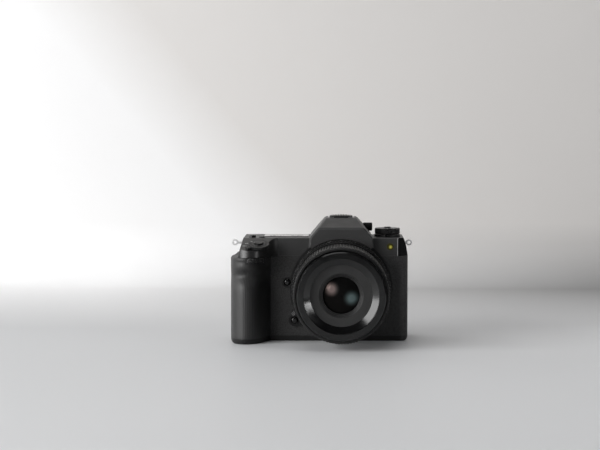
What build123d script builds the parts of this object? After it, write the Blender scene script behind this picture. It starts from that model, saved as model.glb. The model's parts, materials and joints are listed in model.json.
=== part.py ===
from build123d import *
import os
from functools import cache
from math import atan2, cos, degrees, exp, hypot, pi, radians, sin, sqrt

os.makedirs("parts", exist_ok=True)

# A medium format digital camera with a standard prime lens, in millimetres.
# X runs to the viewer's right, Y to the back, Z up, and the lens looks along -Y.
# The origin is the mouth of the tripod socket, under the lens axis and on the base.
# "left" and "right" are as seen from in front of the lens.

# Body sizes
body_width = 148.0
axis_to_right = 57.0
body_depth = 48.0
deck_height = 88.0
deck_band = 15.3
lens_axis_height = 45.3
cover_wall = 1.8
covering_thickness = 0.8
bottom_seam = 4.4
rear_cover_depth = 21.0
front_corner_radius = 8.0
rear_corner_radius = 5.0
base_radius = 4.0
edge_radius = 1.4
deck_edge = 0.6
facet_depth = 0.3
shoulder_in = 3.7
shoulder_height = 15.0
cheek_in = 7.8
cheek_lower_in = 4.0
cheek_radius = 1.0
bulkhead_gap = 2.2
screw_boss_radius = 3.2
screw_boss_height = 4.6
screw_boss_bite = 0.5

# Clearances and the overrun of cuts
reach = 200.0
overrun = 1.0
free_gap = 0.3
running_gap = 0.05
panel_gap = 0.3
seat_gap = 0.2

# Grip
grip_swell = 2.4
grip_width = 31.0
grip_reach = 28.0
rubber_thickness = 1.2
grip_foot_radius = 4.6
grip_top_radius = 0.8
thumb_pad_from_left = 20.0
thumb_pad_width = 30.0
thumb_pad_height = 34.0
thumb_pad_depth = 3.2
thumb_pad_radius = 9.0
thumb_pad_z = 43.0

# Shutter platform on top of the grip
platform_width = 37.0
platform_behind_front = 9.0
platform_lean = 4.0
platform_left_margin = 3.0
slope_drop = 9.8
release_from_left = 21.7
release_before_front = 18.0
release_radius = 4.0
release_proud = 1.2
release_travel = 1.5
collar_radius = 5.8
collar_height = 3.2
lever_radius = 9.0
lever_height = 3.0
lever_rib_depth = 0.5
lever_rib_count = 44
lever_tab_length = 3.2
lever_tab_width = 4.0
lever_tab_angle = 215.0
lever_tab_height = 2.2

# Dials
dial_rib_depth = 0.45
dial_ease = 0.5
dial_shaft_radius = 1.5
front_dial_radius = 10.0
front_dial_from_left = 16.5
front_dial_before_front = 18.6
front_dial_thickness = 4.0
front_dial_ribs = 48
front_dial_shaft = 6.0
rear_dial_radius = 9.0
rear_dial_from_left = 25.0
rear_dial_proud = 0.9
rear_dial_thickness = 4.4
rear_dial_below_deck = 11.8
rear_dial_ribs = 44
rear_dial_shaft = 3.6
dial_boss_radius = 3.2
mode_dial_from_right = 17.1
mode_dial_behind_front = 22.0
mode_dial_radius = 10.8
mode_dial_height = 5.0
mode_dial_ribs = 56
mode_dial_shaft = 5.0
mode_lock_radius = 2.9
mode_lock_proud = 1.0
mode_lock_travel = 1.0
mode_lock_sink = 2.2
mode_lever_radius = 11.3
mode_lever_height = 1.7
mode_lever_tab = 1.6
mode_lever_tab_width = 4.4
mode_lever_tab_angle = 250.0
diopter_radius = 3.6
diopter_length = 8.0
diopter_from_rear = 6.0
diopter_rise = 7.0
diopter_ribs = 28
diopter_sink = 2.0

# Viewfinder hump
hump_overhang = 8.0
hump_half_foot = 27.4
hump_half_brow = 26.8
hump_half_top = 13.5
hump_foot_below_deck = 8.0
hump_brow_rise = 0.4
hump_crease_rise = 8.9
hump_rise = 16.4
hump_back_rise = 10.6
hump_ceiling_rise = 10.6
hump_top_behind_front = 12.0
hump_top_before_rear = 7.0
hump_back_proud = 2.0
hump_edge = 1.2
hump_wall = 2.0
eyepiece_half_width = 16.5
eyepiece_below_deck = 9.0
eyepiece_rise = 11.6
eyepiece_proud = 4.0
eyepiece_radius = 3.0
finder_half_width = 12.0
finder_below_deck = 6.0
finder_box_length = 33.0
finder_window_half = 9.0
finder_window_margin = 3.0
glass_thickness = 1.5
eyecup_margin = 2.6
eyecup_depth = 8.0
eyecup_wall = 3.4
eyecup_flare = 1.6

# Accessory shoe
shoe_half_width = 11.2
shoe_length = 19.0
shoe_behind_front = 15.0
shoe_sink = 4.0
shoe_base = 1.2
shoe_slot_half = 9.35
shoe_slot_height = 2.1
shoe_lip = 1.0
shoe_lip_half = 6.3
shoe_pocket_gap = 0.3
shoe_fit = 0.15
shoe_cover_half = 9.8
shoe_cover_edge = 0.6
shoe_cover_top = 1.5
shoe_cover_ribs = 9
shoe_rib_share = 0.45
shoe_rib_depth = 0.5

# Deck display and lamp
display_from_left = 25.0
display_length = 38.0
display_behind_front = 12.0
display_from_rear = 10.0
display_thickness = 1.6
display_proud = 0.6
display_radius = 2.0
lamp_from_right = 15.3
lamp_below_deck = 7.4
lamp_radius = 3.0
lamp_proud = 0.3
lamp_depth = 2.6

# Push buttons
button_travel = 0.8
button_proud = 1.1
button_sink = 1.0
button_stem_radius = 0.9
button_stem_length = 2.2
button_wall = 1.0
button_ease_share = 0.125
button_dome_share = 0.6
top_button_radius = 2.9
small_button_radius = 2.4
top_button_left_in = 15.4
top_button_right_in = 23.4
top_button_behind_front = 5.2
function_x = -45.8
function_z = 50.2
function_radius = 2.9
function_surround = 4.4
function_surround_proud = 1.4
lens_release_x = -39.6
lens_release_z = 17.9
lens_release_radius = 3.0
lens_release_surround = 5.2
lens_release_proud = 2.2
lens_release_travel = 2.0
lens_release_sink = 2.3
surround_edge = 0.5
rear_button_radius = 3.0
rear_button_below_deck = 8.0
menu_button_radius = 4.2
menu_from_screen = 13.0
menu_z = 42.0
quick_from_left = 27.0
quick_below_seam = 6.7
focus_on_from_screen = 12.0
play_from_right = 17.0

# Joystick in its gimbal
stick_from_screen = 14.0
stick_below_seam = 11.7
stick_pocket_radius = 5.4
stick_pocket_depth = 5.8
stick_pivot_depth = 3.2
gimbal_radius = 4.3
gimbal_bore = 3.0
gimbal_thickness = 1.5
gimbal_pin_radius = 0.6
gimbal_pin_reach = 6.0
stick_radius = 1.2
stick_tail = 1.5
stick_cap_radius = 3.4
stick_cap_gap = 0.7
stick_cap_height = 1.6
stick_pin_radius = 0.5
stick_pin_reach = 4.0

# Strap lugs
lug_radius = 2.6
lug_hole_radius = 1.4
lug_thickness = 2.2
lug_behind_front = 18.0
lug_below_deck = 5.0
lug_left_out = 0.3
lug_right_out = 1.4
lug_pin_radius = 1.2
lug_pin_length = 9.0

# Tilting screen
screen_width = 78.0
screen_from_right = 12.0
screen_low = 7.5
screen_below_seam = 9.2
screen_thickness = 6.2
screen_radius = 2.0
screen_glass_margin = 3.0
screen_glass_thickness = 0.8
screen_recess_depth = 7.0
screen_side_gap = 1.4
screen_plate = 1.5
screen_layer_gap = 0.35
hinge_radius = 1.4
hinge_pin_radius = 0.7
hinge_pin_length = 2.0
hinge_axis_proud = 1.4
hinge_ear_width = 4.0
hinge_web = 1.2
side_hinge_half = 12.0
top_hinge_half = 20.0
low_hinge_half = 16.0
frame_window_margin = 10.0

# Doors
door_thickness = 1.8
door_floor_gap = 0.2
door_pin_radius = 0.45
door_pin_length = 1.0
side_door_length = 13.4
side_door_from_rear = 6.0
port_door_low = 14.0
port_door_high = 66.0
card_door_low = 18.0
card_door_high = 60.0
door_nail_radius = 1.2

# Battery and cards
battery_width = 38.3
battery_thickness = 20.8
battery_height = 52.3
battery_from_left = 2.8
battery_behind_front = 3.0
battery_low = 2.4
battery_gap = 0.25
battery_door_margin = 1.4
latch_length = 7.0
latch_width = 6.0
latch_travel = 2.5
latch_thickness = 1.2
latch_from_edge = 5.0
card_length = 32.0
card_height = 24.0
card_thickness = 2.1
card_pitch = 6.4
card_from_rear = 16.0
card_low = 27.0
card_gap = 0.2
slot_wall = 1.2
slot_depth = 35.0

# Lens mount on the body
boss_radius = 44.0
boss_proud = 2.5
boss_sink = 10.0
throat_radius = 32.5
flange_proud = 3.0
mount_ring_radius = 37.5
mount_ring_thickness = 2.5
mount_tab_inner = 30.9
mount_tab_thickness = 1.4
mount_tab_root = 1.0
mount_tab_count = 4
mount_tab_angle = 40.0
screw_circle = 35.0
screw_radius = 0.9
screw_head_radius = 1.5
screw_head_height = 0.9
screw_length = 5.0
mount_screw_first_angle = 20.0
lock_pin_radius = 1.2
lock_pin_proud = 1.5
lock_pin_length = 8.0
lock_pin_circle = 35.0
lock_pin_notch_gap = 0.3
base_screw_head_radius = 1.8
base_screw_length = 6.5

# Lens
lens_length = 71.0
lens_mount_inner = 28.5
lens_mount_tube = 30.5
lens_claw_radius = 32.1
lens_claw_back = 3.4
lens_claw_thickness = 1.4
lens_mount_plate = 2.0
lens_tail = 4.0
lens_collar_radius = 41.6
lens_collar_end = 6.5
aperture_ring_radius = 42.0
aperture_ring_start = 6.9
aperture_ring_end = 19.6
aperture_seat_radius = 38.0
aperture_rib_depth = 0.6
aperture_ribs = 96
aperture_land = 2.0
band_radius = 40.8
band_start = 20.0
band_end = 24.0
barrel_radius = 37.2
barrel_wall = 3.0
barrel_web = 5.0
focus_ring_radius = 39.9
focus_ring_start = 24.4
focus_ring_end = 64.2
focus_rib_depth = 0.9
focus_ribs = 100
focus_land = 3.4
focus_land_radius = 39.4
front_ring_radius = 36.4
front_ring_start = 61.0
front_ring_edge = 0.9
filter_radius = 31.0
filter_depth = 4.6
cone_inner_radius = 25.5
cone_floor = 63.0
baffle_seat_radius = 27.0
baffle_thickness = 1.6
baffle_inner_radius = 18.3
bezel_depth = 4.2
bezel_lip = 1.4
bezel_inner_radius = 15.2
optic_radius = 17.5
optic_tube_radius = 20.0
front_glass_vertex = 59.4
front_glass_curve = 45.0
front_glass_back = 51.0
front_glass_back_curve = 70.0
middle_glass_vertex = 46.0
middle_glass_curve = 60.0
middle_glass_back = 39.0
rear_glass_vertex = 18.0
rear_glass_curve = 55.0
rear_glass_back = 10.0
tail_glass_vertex = 4.0
tail_glass_curve = 80.0
tail_glass_back = -2.5
iris_place = 28.0
iris_thickness = 5.0
iris_rim = 3.0
iris_hole = 8.0
iris_blade_thickness = 0.6
iris_blades = 9

# Inside the body
flange_distance = 26.7
shutter_half_width = 37.0
shutter_half_height = 30.0
shutter_thickness = 5.0
picture_width = 43.8
picture_height = 32.9
picture_margin = 1.2
shutter_leaf_height = 9.0
shutter_leaf_thickness = 0.25
shutter_leaf_pitch = 0.9
shutter_leaves = 4
sensor_half_width = 33.0
sensor_half_height = 27.0
sensor_frame_behind = 3.8
sensor_chip_margin = 3.0
sensor_chip_thickness = 2.0
board_behind_frame = 6.5
board_thickness = 1.4
board_from_bulkhead = 4.7
board_from_right = 7.0
board_low = 10.5
board_below_seam = 2.7
standoff_radius = 2.0
standoff_in = 4.0
chip_size = 14.0
chip_height = 1.8
chip_pitch = 18.0
chip_count = 3
socket_heights = (20.0, 31.0, 42.0, 51.0, 60.0)
socket_height = 6.0
socket_depth_y = 8.0
socket_length = 6.2
socket_hole_radius = 1.9
socket_hole_depth = 4.0

# Tripod socket, a quarter inch thread of twenty turns to the inch
tripod_thread_radius = 3.175
tripod_thread_depth = 5.5
tripod_bush_radius = 6.0
tripod_bush_height = 7.4

# Shares of a rib's pitch: crest start, crest end, valley start, valley end
rib_shares = (0.0, 0.42, 0.58, 0.86)
# Grip outline seen from above: shares of its width from the left and of its reach from the back
grip_plan_shares = (
    (0.02, 0.40), (0.0, 0.66), (0.10, 0.885), (0.35, 1.0), (0.60, 0.955), (0.78, 0.79), (0.89, 0.62),
)
# Grip seen from the side: shares of its reach by height, the height being a share of the top seam's
grip_sections = 24
notch_share = 0.80
notch_above_share = 0.055
notch_below_share = 0.095
notch_depth_share = 0.088
grip_foot_share = 0.10
grip_foot_in_share = 0.03
grip_top_in_share = 0.012
# Platform outline seen from above: shares of its width from the left and of its reach from the back
platform_plan_shares = (
    (0.0, 0.42), (0.06, 0.78), (0.27, 0.975), (0.50, 0.955), (0.76, 0.62), (0.90, 0.34),
)
shoulder_mid_share = 0.46
shoulder_rise_share = 0.62

# Places worked out from the sizes above
body_right = axis_to_right
body_left = body_right - body_width
body_front = -body_depth / 2
body_rear = body_depth / 2
top_seam = deck_height - deck_band
split_y = body_rear - rear_cover_depth

grip_left = body_left - grip_swell
grip_inner_x = body_left + grip_width
grip_front = body_front - grip_reach
thumb_pad_x = body_left + thumb_pad_from_left
platform_right = body_left + platform_width
platform_back = body_front + platform_behind_front
slope_foot_y = grip_front
slope_head_y = body_front
release_x = body_left + release_from_left
release_y = body_front - release_before_front
slope_angle = degrees(atan2(slope_drop, slope_head_y - slope_foot_y))
release_z = deck_height - slope_drop * (slope_head_y - release_y) / (slope_head_y - slope_foot_y)
slope_plane = Plane(
    origin=(release_x, release_y, release_z),
    x_dir=(1, 0, 0),
    z_dir=(0, -sin(radians(slope_angle)), cos(radians(slope_angle))),
)
front_dial_x = body_left + front_dial_from_left
front_dial_y = body_front - front_dial_before_front
grip_dial_floor = top_seam - front_dial_thickness - seat_gap
rear_dial_x = body_left + rear_dial_from_left
rear_dial_low = deck_height - rear_dial_below_deck
mode_dial_x = body_right - mode_dial_from_right
mode_dial_y = body_front + mode_dial_behind_front
top_button_left_x = body_left + top_button_left_in
top_button_right_x = body_left + top_button_right_in
top_button_y = body_front + top_button_behind_front

hump_front = body_front - hump_overhang
hump_foot_z = deck_height - hump_foot_below_deck
hump_brow_z = deck_height + hump_brow_rise
hump_crease_z = deck_height + hump_crease_rise
hump_top_z = deck_height + hump_rise
hump_back_z = deck_height + hump_back_rise
hump_ceiling_z = deck_height + hump_ceiling_rise
hump_top_front = body_front + hump_top_behind_front
hump_top_back = body_rear - hump_top_before_rear
hump_back = body_rear + hump_back_proud
eyepiece_low = deck_height - eyepiece_below_deck
eyepiece_high = deck_height + eyepiece_rise
eyepiece_back = body_rear + eyepiece_proud
finder_low = deck_height - finder_below_deck
diopter_y = body_rear - diopter_from_rear
diopter_z = deck_height + diopter_rise
shoe_front = body_front + shoe_behind_front
shoe_floor_z = hump_top_z - shoe_sink

display_left = body_left + display_from_left
display_right = display_left + display_length
display_front = body_front + display_behind_front
display_back = body_rear - display_from_rear
lamp_x = body_right - lamp_from_right
lamp_z = deck_height - lamp_below_deck
lug_y = body_front + lug_behind_front
lug_z = deck_height - lug_below_deck
lug_left_x = body_left - lug_left_out
lug_right_x = body_right + lug_right_out

screen_right = body_right - screen_from_right
screen_left = screen_right - screen_width
screen_high = top_seam - screen_below_seam
hinge_axis_y = body_rear + hinge_axis_proud
menu_x = screen_left - menu_from_screen
quick_x = body_left + quick_from_left
quick_z = top_seam - quick_below_seam
focus_on_x = screen_left - focus_on_from_screen
focus_on_z = deck_height - rear_button_below_deck
play_x = body_right - play_from_right
play_z = focus_on_z
stick_x = screen_left - stick_from_screen
stick_z = top_seam - stick_below_seam

side_door_back = body_rear - side_door_from_rear
side_door_front = side_door_back - side_door_length
battery_left = body_left + battery_from_left
battery_front = body_front + battery_behind_front
bulkhead_x = battery_left + battery_width + bulkhead_gap
card_first_y = body_rear - card_from_rear
card_slots_right = body_left + door_thickness + door_floor_gap + slot_depth

boss_front = body_front - boss_proud
boss_back = body_front + boss_sink
flange_y = body_front - flange_proud
sensor_plane_y = flange_y + flange_distance
sensor_frame_back = sensor_plane_y + sensor_frame_behind
board_y = sensor_frame_back + board_behind_frame
board_left = bulkhead_x + board_from_bulkhead
board_right = body_right - board_from_right
board_high = top_seam - board_below_seam


# Basic shapes
def block(x0, x1, y0, y1, z0, z1):
    size = (x1 - x0, y1 - y0, z1 - z0)
    return Pos((x0 + x1) / 2, (y0 + y1) / 2, (z0 + z1) / 2) * Box(*size)


def outline(points, radii):
    return make_face(FilletPolyline(*points, radius=radii, close=True))


def polygon(points):
    return make_face(Polyline(*points, close=True))


def plan_prism(face, z0, z1):
    return Pos(0, 0, z0) * extrude(face, z1 - z0)


def front_prism(face, y0, y1):
    return Pos(0, y1, 0) * extrude(Plane.XZ * face, y1 - y0)


def side_prism(face, x0, x1):
    return Pos(x0, 0, 0) * extrude(Plane.YZ * face, x1 - x0)


def rounded_plate(x0, x1, y0, y1, z0, z1, radius):
    face = Pos((x0 + x1) / 2, (z0 + z1) / 2) * RectangleRounded(x1 - x0, z1 - z0, radius)
    return front_prism(face, y0, y1)


def rod(radius, start, end):
    line = Vector(*end) - Vector(*start)
    return extrude(Plane(origin=start, z_dir=line) * Circle(radius), line.length)


def lens_turned(points):
    """A ring or disc turned about the lens axis, from (radius, distance in front of the flange) points."""
    face = polygon([(r, flange_y - f) for r, f in points])
    return Pos(0, 0, lens_axis_height) * revolve(face, Axis.Y)


def lens_disc(radius, y0, y1):
    return rod(radius, (0, y0, lens_axis_height), (0, y1, lens_axis_height))


def lens_ring(outer, inner, y0, y1):
    return lens_disc(outer, y0, y1) - lens_disc(inner, y0, y1)


def ribbed(radius, depth, count, height, bore=0, ease=0):
    """A disc with count ribs round its rim, standing on its local plane, with eased rims."""
    points = []
    for step in range(count):
        for share, r in zip(rib_shares, (radius, radius, radius - depth, radius - depth)):
            turn = 2 * pi * (step + share) / count
            points.append((r * cos(turn), r * sin(turn)))
    face = polygon(points)
    if bore:
        face -= Circle(bore)
    disc = extrude(face, height)
    if ease:
        blank = extrude(Circle(radius), height)
        disc &= chamfer(blank.edges().filter_by(GeomType.CIRCLE), ease)
    return disc


def ring_sector(outer, inner, start_angle, angle, y0, y1):
    """A sector of a ring about the lens axis."""
    steps = [start_angle + angle * share for share in (0, 1 / 2, 1)]
    far = 2 * outer
    wedge = [(0, 0)] + [(far * cos(radians(a)), far * sin(radians(a))) for a in steps]
    sector = front_prism(Pos(0, lens_axis_height) * polygon(wedge), y0, y1)
    return lens_ring(outer, inner, y0, y1) & sector


def facing(x, y, z, direction):
    """The local frame of a button: its +Z points out of the surface."""
    side = (1, 0, 0) if abs(direction[0]) < 1 / 2 else (0, 1, 0)
    return Plane(origin=(x, y, z), x_dir=side, z_dir=direction).location


def button_cap(radius, proud, sink, stem=button_stem_length, travel=button_travel, domed=False):
    """A cap with a guide stem; the surface that it stands in is at zero."""
    cap = Pos(0, 0, -sink) * extrude(Circle(radius), sink + proud)
    rim = cap.edges().sort_by(Axis.Z)[-1]
    cap = fillet(rim, radius * button_dome_share) if domed else chamfer(rim, radius * button_ease_share)
    bottom = sink + travel + seat_gap
    return cap + Pos(0, 0, -bottom - stem) * extrude(Circle(button_stem_radius), bottom + stem)


def button_well(radius, sink, stem=button_stem_length, travel=button_travel):
    bottom = sink + travel + seat_gap
    well = Pos(0, 0, -bottom) * extrude(Circle(radius + free_gap), bottom + reach)
    bore = Pos(0, 0, -bottom - stem - travel - seat_gap) * extrude(
        Circle(button_stem_radius + running_gap), bottom + stem + travel
    )
    return well + bore


def button_boss(radius, sink, stem=button_stem_length, travel=button_travel):
    depth = sink + 2 * travel + 2 * seat_gap + stem
    return Pos(0, 0, -depth) * extrude(Circle(radius), depth - seat_gap)


# Outer forms, each drawn again further in for the inside of its wall
def body_form(inset=0):
    left, right = body_left + inset, body_right - inset
    front, rear = body_front + inset, body_rear - inset
    low, high = inset, deck_height - inset
    plan = outline(
        [(left, front), (right, front), (right, rear), (left, rear)],
        [rear_corner_radius - inset, front_corner_radius - inset, rear_corner_radius - inset,
         rear_corner_radius - inset],
    )
    shoulder = deck_height - shoulder_height
    middle = shoulder + shoulder_height * shoulder_rise_share
    face = outline(
        [(left, low), (right, low), (right, shoulder), (right - shoulder_in * shoulder_mid_share, middle),
         (right - shoulder_in, high), (left + cheek_in, high), (left + cheek_lower_in, top_seam),
         (left, top_seam)],
        [base_radius - inset / 2, base_radius - inset / 2, 2 * base_radius, base_radius, edge_radius / 2,
         edge_radius / 2, 0, cheek_radius],
    )
    return plan_prism(plan, 0, deck_height) & front_prism(face, -reach, reach)


def grip_set_back(rise):
    """How far the nose stands back at a share of the height, as a share of the grip's reach."""
    spread = notch_above_share if rise > notch_share else notch_below_share
    back = notch_depth_share * exp(-(((rise - notch_share) / spread) ** 2)) + grip_top_in_share * rise ** 4
    foot = max(0, 1 - rise / grip_foot_share)
    return back + grip_foot_in_share * foot ** 2


@cache
def grip_form(inset=0):
    """Outlines seen from above, evenly spaced in height and joined by one smooth skin."""
    left, right, back = grip_left + inset, grip_inner_x - inset, split_y + overrun
    width = right - left
    sections = []
    for step in range(grip_sections + 1):
        rise = step / grip_sections
        length = (split_y - grip_front - inset) * (1 - grip_set_back(rise))
        curve = [(left + width * u, split_y - length * v) for u, v in grip_plan_shares]
        start, end = (body_left + inset, back), (right, body_front)
        plan = make_face([Spline(start, *curve, end), Polyline(end, (right, back), start)])
        sections.append(Pos(0, 0, top_seam * rise) * plan)
    face = outline(
        [(right, 0), (left, 0), (left, top_seam), (right, top_seam)],
        [0, grip_foot_radius, grip_top_radius, 0],
    )
    return loft(sections) & front_prism(face, -reach, reach)


def platform_plan(lean):
    """The platform's outline seen from above; lean draws its front back."""
    left, right = body_left + cheek_lower_in - platform_left_margin, platform_right
    width, length = right - left, platform_back - slope_foot_y - lean
    curve = [(left + width * u, platform_back - length * v) for u, v in platform_plan_shares]
    start, end = (left, platform_back), (right, body_front)
    return make_face([Spline(start, *curve, end), Polyline(end, (right, platform_back), start)])


def platform_form():
    right = platform_right
    slant = polygon(
        [(right, top_seam), (body_left + cheek_lower_in, top_seam), (body_left + cheek_in, deck_height),
         (right, deck_height)]
    )
    cutter = slope_plane.location * block(-reach, reach, -reach, reach, 0, reach)
    form = loft([Pos(0, 0, top_seam) * platform_plan(0), Pos(0, 0, deck_height) * platform_plan(platform_lean)])
    return (form & front_prism(slant, -reach, reach)) - cutter


def hump_form(inset=0):
    foot, brow, crown = (hump_half_foot - inset, hump_half_brow - inset, hump_half_top - inset / 2)
    low, top = hump_foot_z, hump_top_z - inset
    face = polygon(
        [(-foot, low), (foot, low), (brow, hump_brow_z - inset / 2), (crown, top), (-crown, top),
         (-brow, hump_brow_z - inset / 2)]
    )
    side = polygon(
        [(hump_front + inset, low), (hump_front + inset, hump_crease_z - inset / 2), (hump_top_front, top),
         (hump_top_back, top), (hump_back - inset, hump_back_z - inset / 2), (hump_back - inset, low)]
    )
    return front_prism(face, hump_front - reach, hump_back + reach) & side_prism(side, -reach, reach)


def corner_facet(inset=0):
    """What lies beyond the flat that cuts the deck's front right corner, drawn in for the wall's inside."""
    half = front_corner_radius
    beyond = block(-2 * half, 2 * half, -facet_depth - inset, reach, top_seam - overrun, reach)
    return Pos(body_right - half / 2, body_front + half / 2, 0) * Rot(0, 0, -135) * beyond


def above(z):
    return block(-reach, reach, -reach, reach, z, reach)


def between(z0, z1, y0, y1):
    return block(-reach, reach, y0, y1, z0, z1)


# Places shared by pieces that meet
def boss_disc(radius, y0=boss_front, y1=boss_back):
    return lens_disc(radius, y0, y1)


def battery_space(gap=battery_gap):
    return block(
        battery_left - gap, battery_left + battery_width + gap,
        battery_front - gap, battery_front + battery_thickness + gap,
        battery_low - gap, battery_low + battery_height + gap,
    )


def card_unit_space():
    left = body_left + door_thickness + door_floor_gap
    back = card_first_y + card_pitch + card_thickness + slot_wall
    return block(
        left, card_slots_right, card_first_y - slot_wall, back,
        card_low - slot_wall, card_low + card_height + slot_wall,
    )


def side_door_space(side, low, high, gap):
    """The room of a side door; side is -1 on the left and 1 on the right."""
    face = body_right if side > 0 else body_left
    inner = face - side * (door_thickness + (door_floor_gap if gap else 0))
    x0, x1 = sorted((inner, face + side * (reach if gap else 0)))
    extra = door_thickness / 2 + gap if gap else 0
    return block(x0, x1, side_door_front - gap, side_door_back + extra, low - gap, high + gap)


def side_door_axis(side):
    face = body_right if side > 0 else body_left
    return face - side * door_thickness / 2, side_door_back


def side_door_pins(side, low, high, radius, length):
    x, y = side_door_axis(side)
    return rod(radius, (x, y, low - length), (x, y, high + length))


def mount_screw_places():
    angles = [mount_screw_first_angle + 360 * step / mount_tab_count for step in range(mount_tab_count)]
    return [
        (screw_circle * cos(radians(a)), lens_axis_height + screw_circle * sin(radians(a))) for a in angles
    ]


def lock_pin_place():
    dx, dz = lens_release_x, lens_release_z - lens_axis_height
    far = hypot(dx, dz)
    return lock_pin_circle * dx / far, lens_axis_height + lock_pin_circle * dz / far


def mount_screw(x, z):
    head = rod(screw_head_radius, (x, flange_y, z), (x, flange_y + screw_head_height, z))
    return head + rod(screw_radius, (x, flange_y, z), (x, flange_y + screw_length, z))


def base_screw_places():
    right = body_right - cover_wall - screw_boss_radius + screw_boss_bite
    left = bulkhead_x + screw_boss_radius - screw_boss_bite
    front = body_front + cover_wall + covering_thickness + screw_boss_radius - screw_boss_bite
    back = board_y + screw_boss_radius
    return [(x, y) for x in (left, right) for y in (front, back)]


def base_screw(x, y):
    head = rod(base_screw_head_radius, (x, y, 0), (x, y, screw_head_height))
    return head + rod(screw_radius, (x, y, 0), (x, y, base_screw_length))


def lens_release_frame():
    return facing(lens_release_x, boss_front, lens_release_z, (0, -1, 0))


def function_frame():
    return facing(function_x, body_front - function_surround_proud, function_z, (0, -1, 0))


def rear_frame(x, z):
    return facing(x, body_rear, z, (0, 1, 0))


def top_frame(x, y):
    return facing(x, y, deck_height, (0, 0, 1))


def release_surround():
    """A teardrop raised round the lens release, with sides that run tangent to the mount boss."""
    dx, dz = lens_release_x, lens_release_z - lens_axis_height
    far, lean = hypot(dx, dz), atan2(dz, dx)
    spread = lens_release_surround / far * 2
    tips = [
        (boss_radius * cos(lean + s * spread), lens_axis_height + boss_radius * sin(lean + s * spread))
        for s in (-1, 1)
    ]
    across = (-sin(lean) * lens_release_surround, cos(lean) * lens_release_surround)
    sides = [(lens_release_x + s * across[0], lens_release_z + s * across[1]) for s in (1, -1)]
    web = polygon([tips[0], tips[1], sides[0], sides[1]])
    body = front_prism(web, boss_front, boss_back)
    body += rod(
        lens_release_surround, (lens_release_x, boss_front, lens_release_z),
        (lens_release_x, boss_back, lens_release_z),
    )
    return chamfer(body.faces().sort_by(Axis.Y)[0].edges(), surround_edge)


def function_surround_form():
    front = body_front - function_surround_proud
    body = rod(function_surround, (function_x, front, function_z), (function_x, boss_back, function_z))
    return chamfer(body.faces().sort_by(Axis.Y)[0].edges(), surround_edge)


def shoe_space(gap=0):
    return block(
        -shoe_half_width - gap, shoe_half_width + gap, shoe_front - gap, reach if gap else shoe_front + shoe_length,
        shoe_floor_z, reach if gap else shoe_floor_z + shoe_base + shoe_slot_height + shoe_lip,
    )


def screen_recess():
    left = screen_left - 2 * hinge_radius - screen_side_gap
    right = screen_right + screen_side_gap
    low = screen_low - 2 * hinge_radius - screen_side_gap
    high = screen_high + 2 * hinge_radius + screen_side_gap
    return left, right, low, high


# Casing
def make_front_cover(rubber, covering):
    shell = body_form(covering_thickness) & between(bottom_seam, top_seam, -reach, split_y)
    core = grip_form() & between(bottom_seam, top_seam, -reach, split_y)
    cavity = body_form(covering_thickness + cover_wall) & block(
        bulkhead_x, reach, -reach, split_y, bottom_seam, top_seam
    )
    cover = (shell - cavity) + core
    cover += boss_disc(boss_radius) & above(bottom_seam)
    cover += release_surround() + function_surround_form()
    for x, y in base_screw_places():
        if y < split_y:
            cover += rod(screw_boss_radius, (x, y, bottom_seam), (x, y, bottom_seam + screw_boss_height))
    cover -= rubber + covering
    cover -= lens_disc(throat_radius, boss_front - overrun, boss_back + overrun)
    cover -= lens_disc(mount_ring_radius, flange_y - overrun, flange_y + mount_ring_thickness)
    cover -= battery_space()
    cover -= front_dial_room()
    x, z = lock_pin_place()
    cover -= rod(lock_pin_radius + running_gap, (x, flange_y, z), (x, boss_back + overrun, z))
    for screw_x, screw_z in mount_screw_places():
        cover -= mount_screw(screw_x, screw_z)
    for screw_x, screw_y in base_screw_places():
        cover -= base_screw(screw_x, screw_y)
    cover -= lens_release_frame() * button_well(
        lens_release_radius, lens_release_sink, travel=lens_release_travel
    )
    cover -= function_frame() * button_well(function_radius, button_sink)
    return cover


def front_dial_room():
    x, y = front_dial_x, front_dial_y
    room = rod(front_dial_radius + free_gap, (x, y, grip_dial_floor), (x, y, top_seam + seat_gap))
    shaft = rod(
        dial_shaft_radius + running_gap, (x, y, grip_dial_floor - front_dial_shaft - seat_gap),
        (x, y, grip_dial_floor),
    )
    return room + shaft


def make_grip_rubber():
    skin = (grip_form() - grip_form(rubber_thickness)) & between(bottom_seam, top_seam, -reach, split_y)
    outside = body_form(covering_thickness) & block(grip_left, reach, body_front, reach, 0, reach)
    inner = block(body_left + rubber_thickness, reach, body_front + covering_thickness, reach, 0, reach)
    skin -= inner & outside
    skin -= front_dial_room()
    pad = rounded_plate(
        thumb_pad_x - thumb_pad_width / 2, thumb_pad_x + thumb_pad_width / 2,
        body_rear, body_rear + thumb_pad_depth,
        thumb_pad_z - thumb_pad_height / 2, thumb_pad_z + thumb_pad_height / 2, thumb_pad_radius,
    )
    pad = fillet(pad.edges().group_by(Axis.Y)[-1], thumb_pad_depth * 2 / 3)
    return [skin, pad]


def make_covering():
    skin = (body_form() - body_form(covering_thickness)) & block(
        grip_inner_x - rubber_thickness, reach, -reach, split_y, bottom_seam, top_seam
    )
    skin -= grip_form()
    skin -= boss_disc(boss_radius, -reach, boss_back)
    skin -= release_surround()
    skin -= function_surround_form()
    return skin


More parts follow.
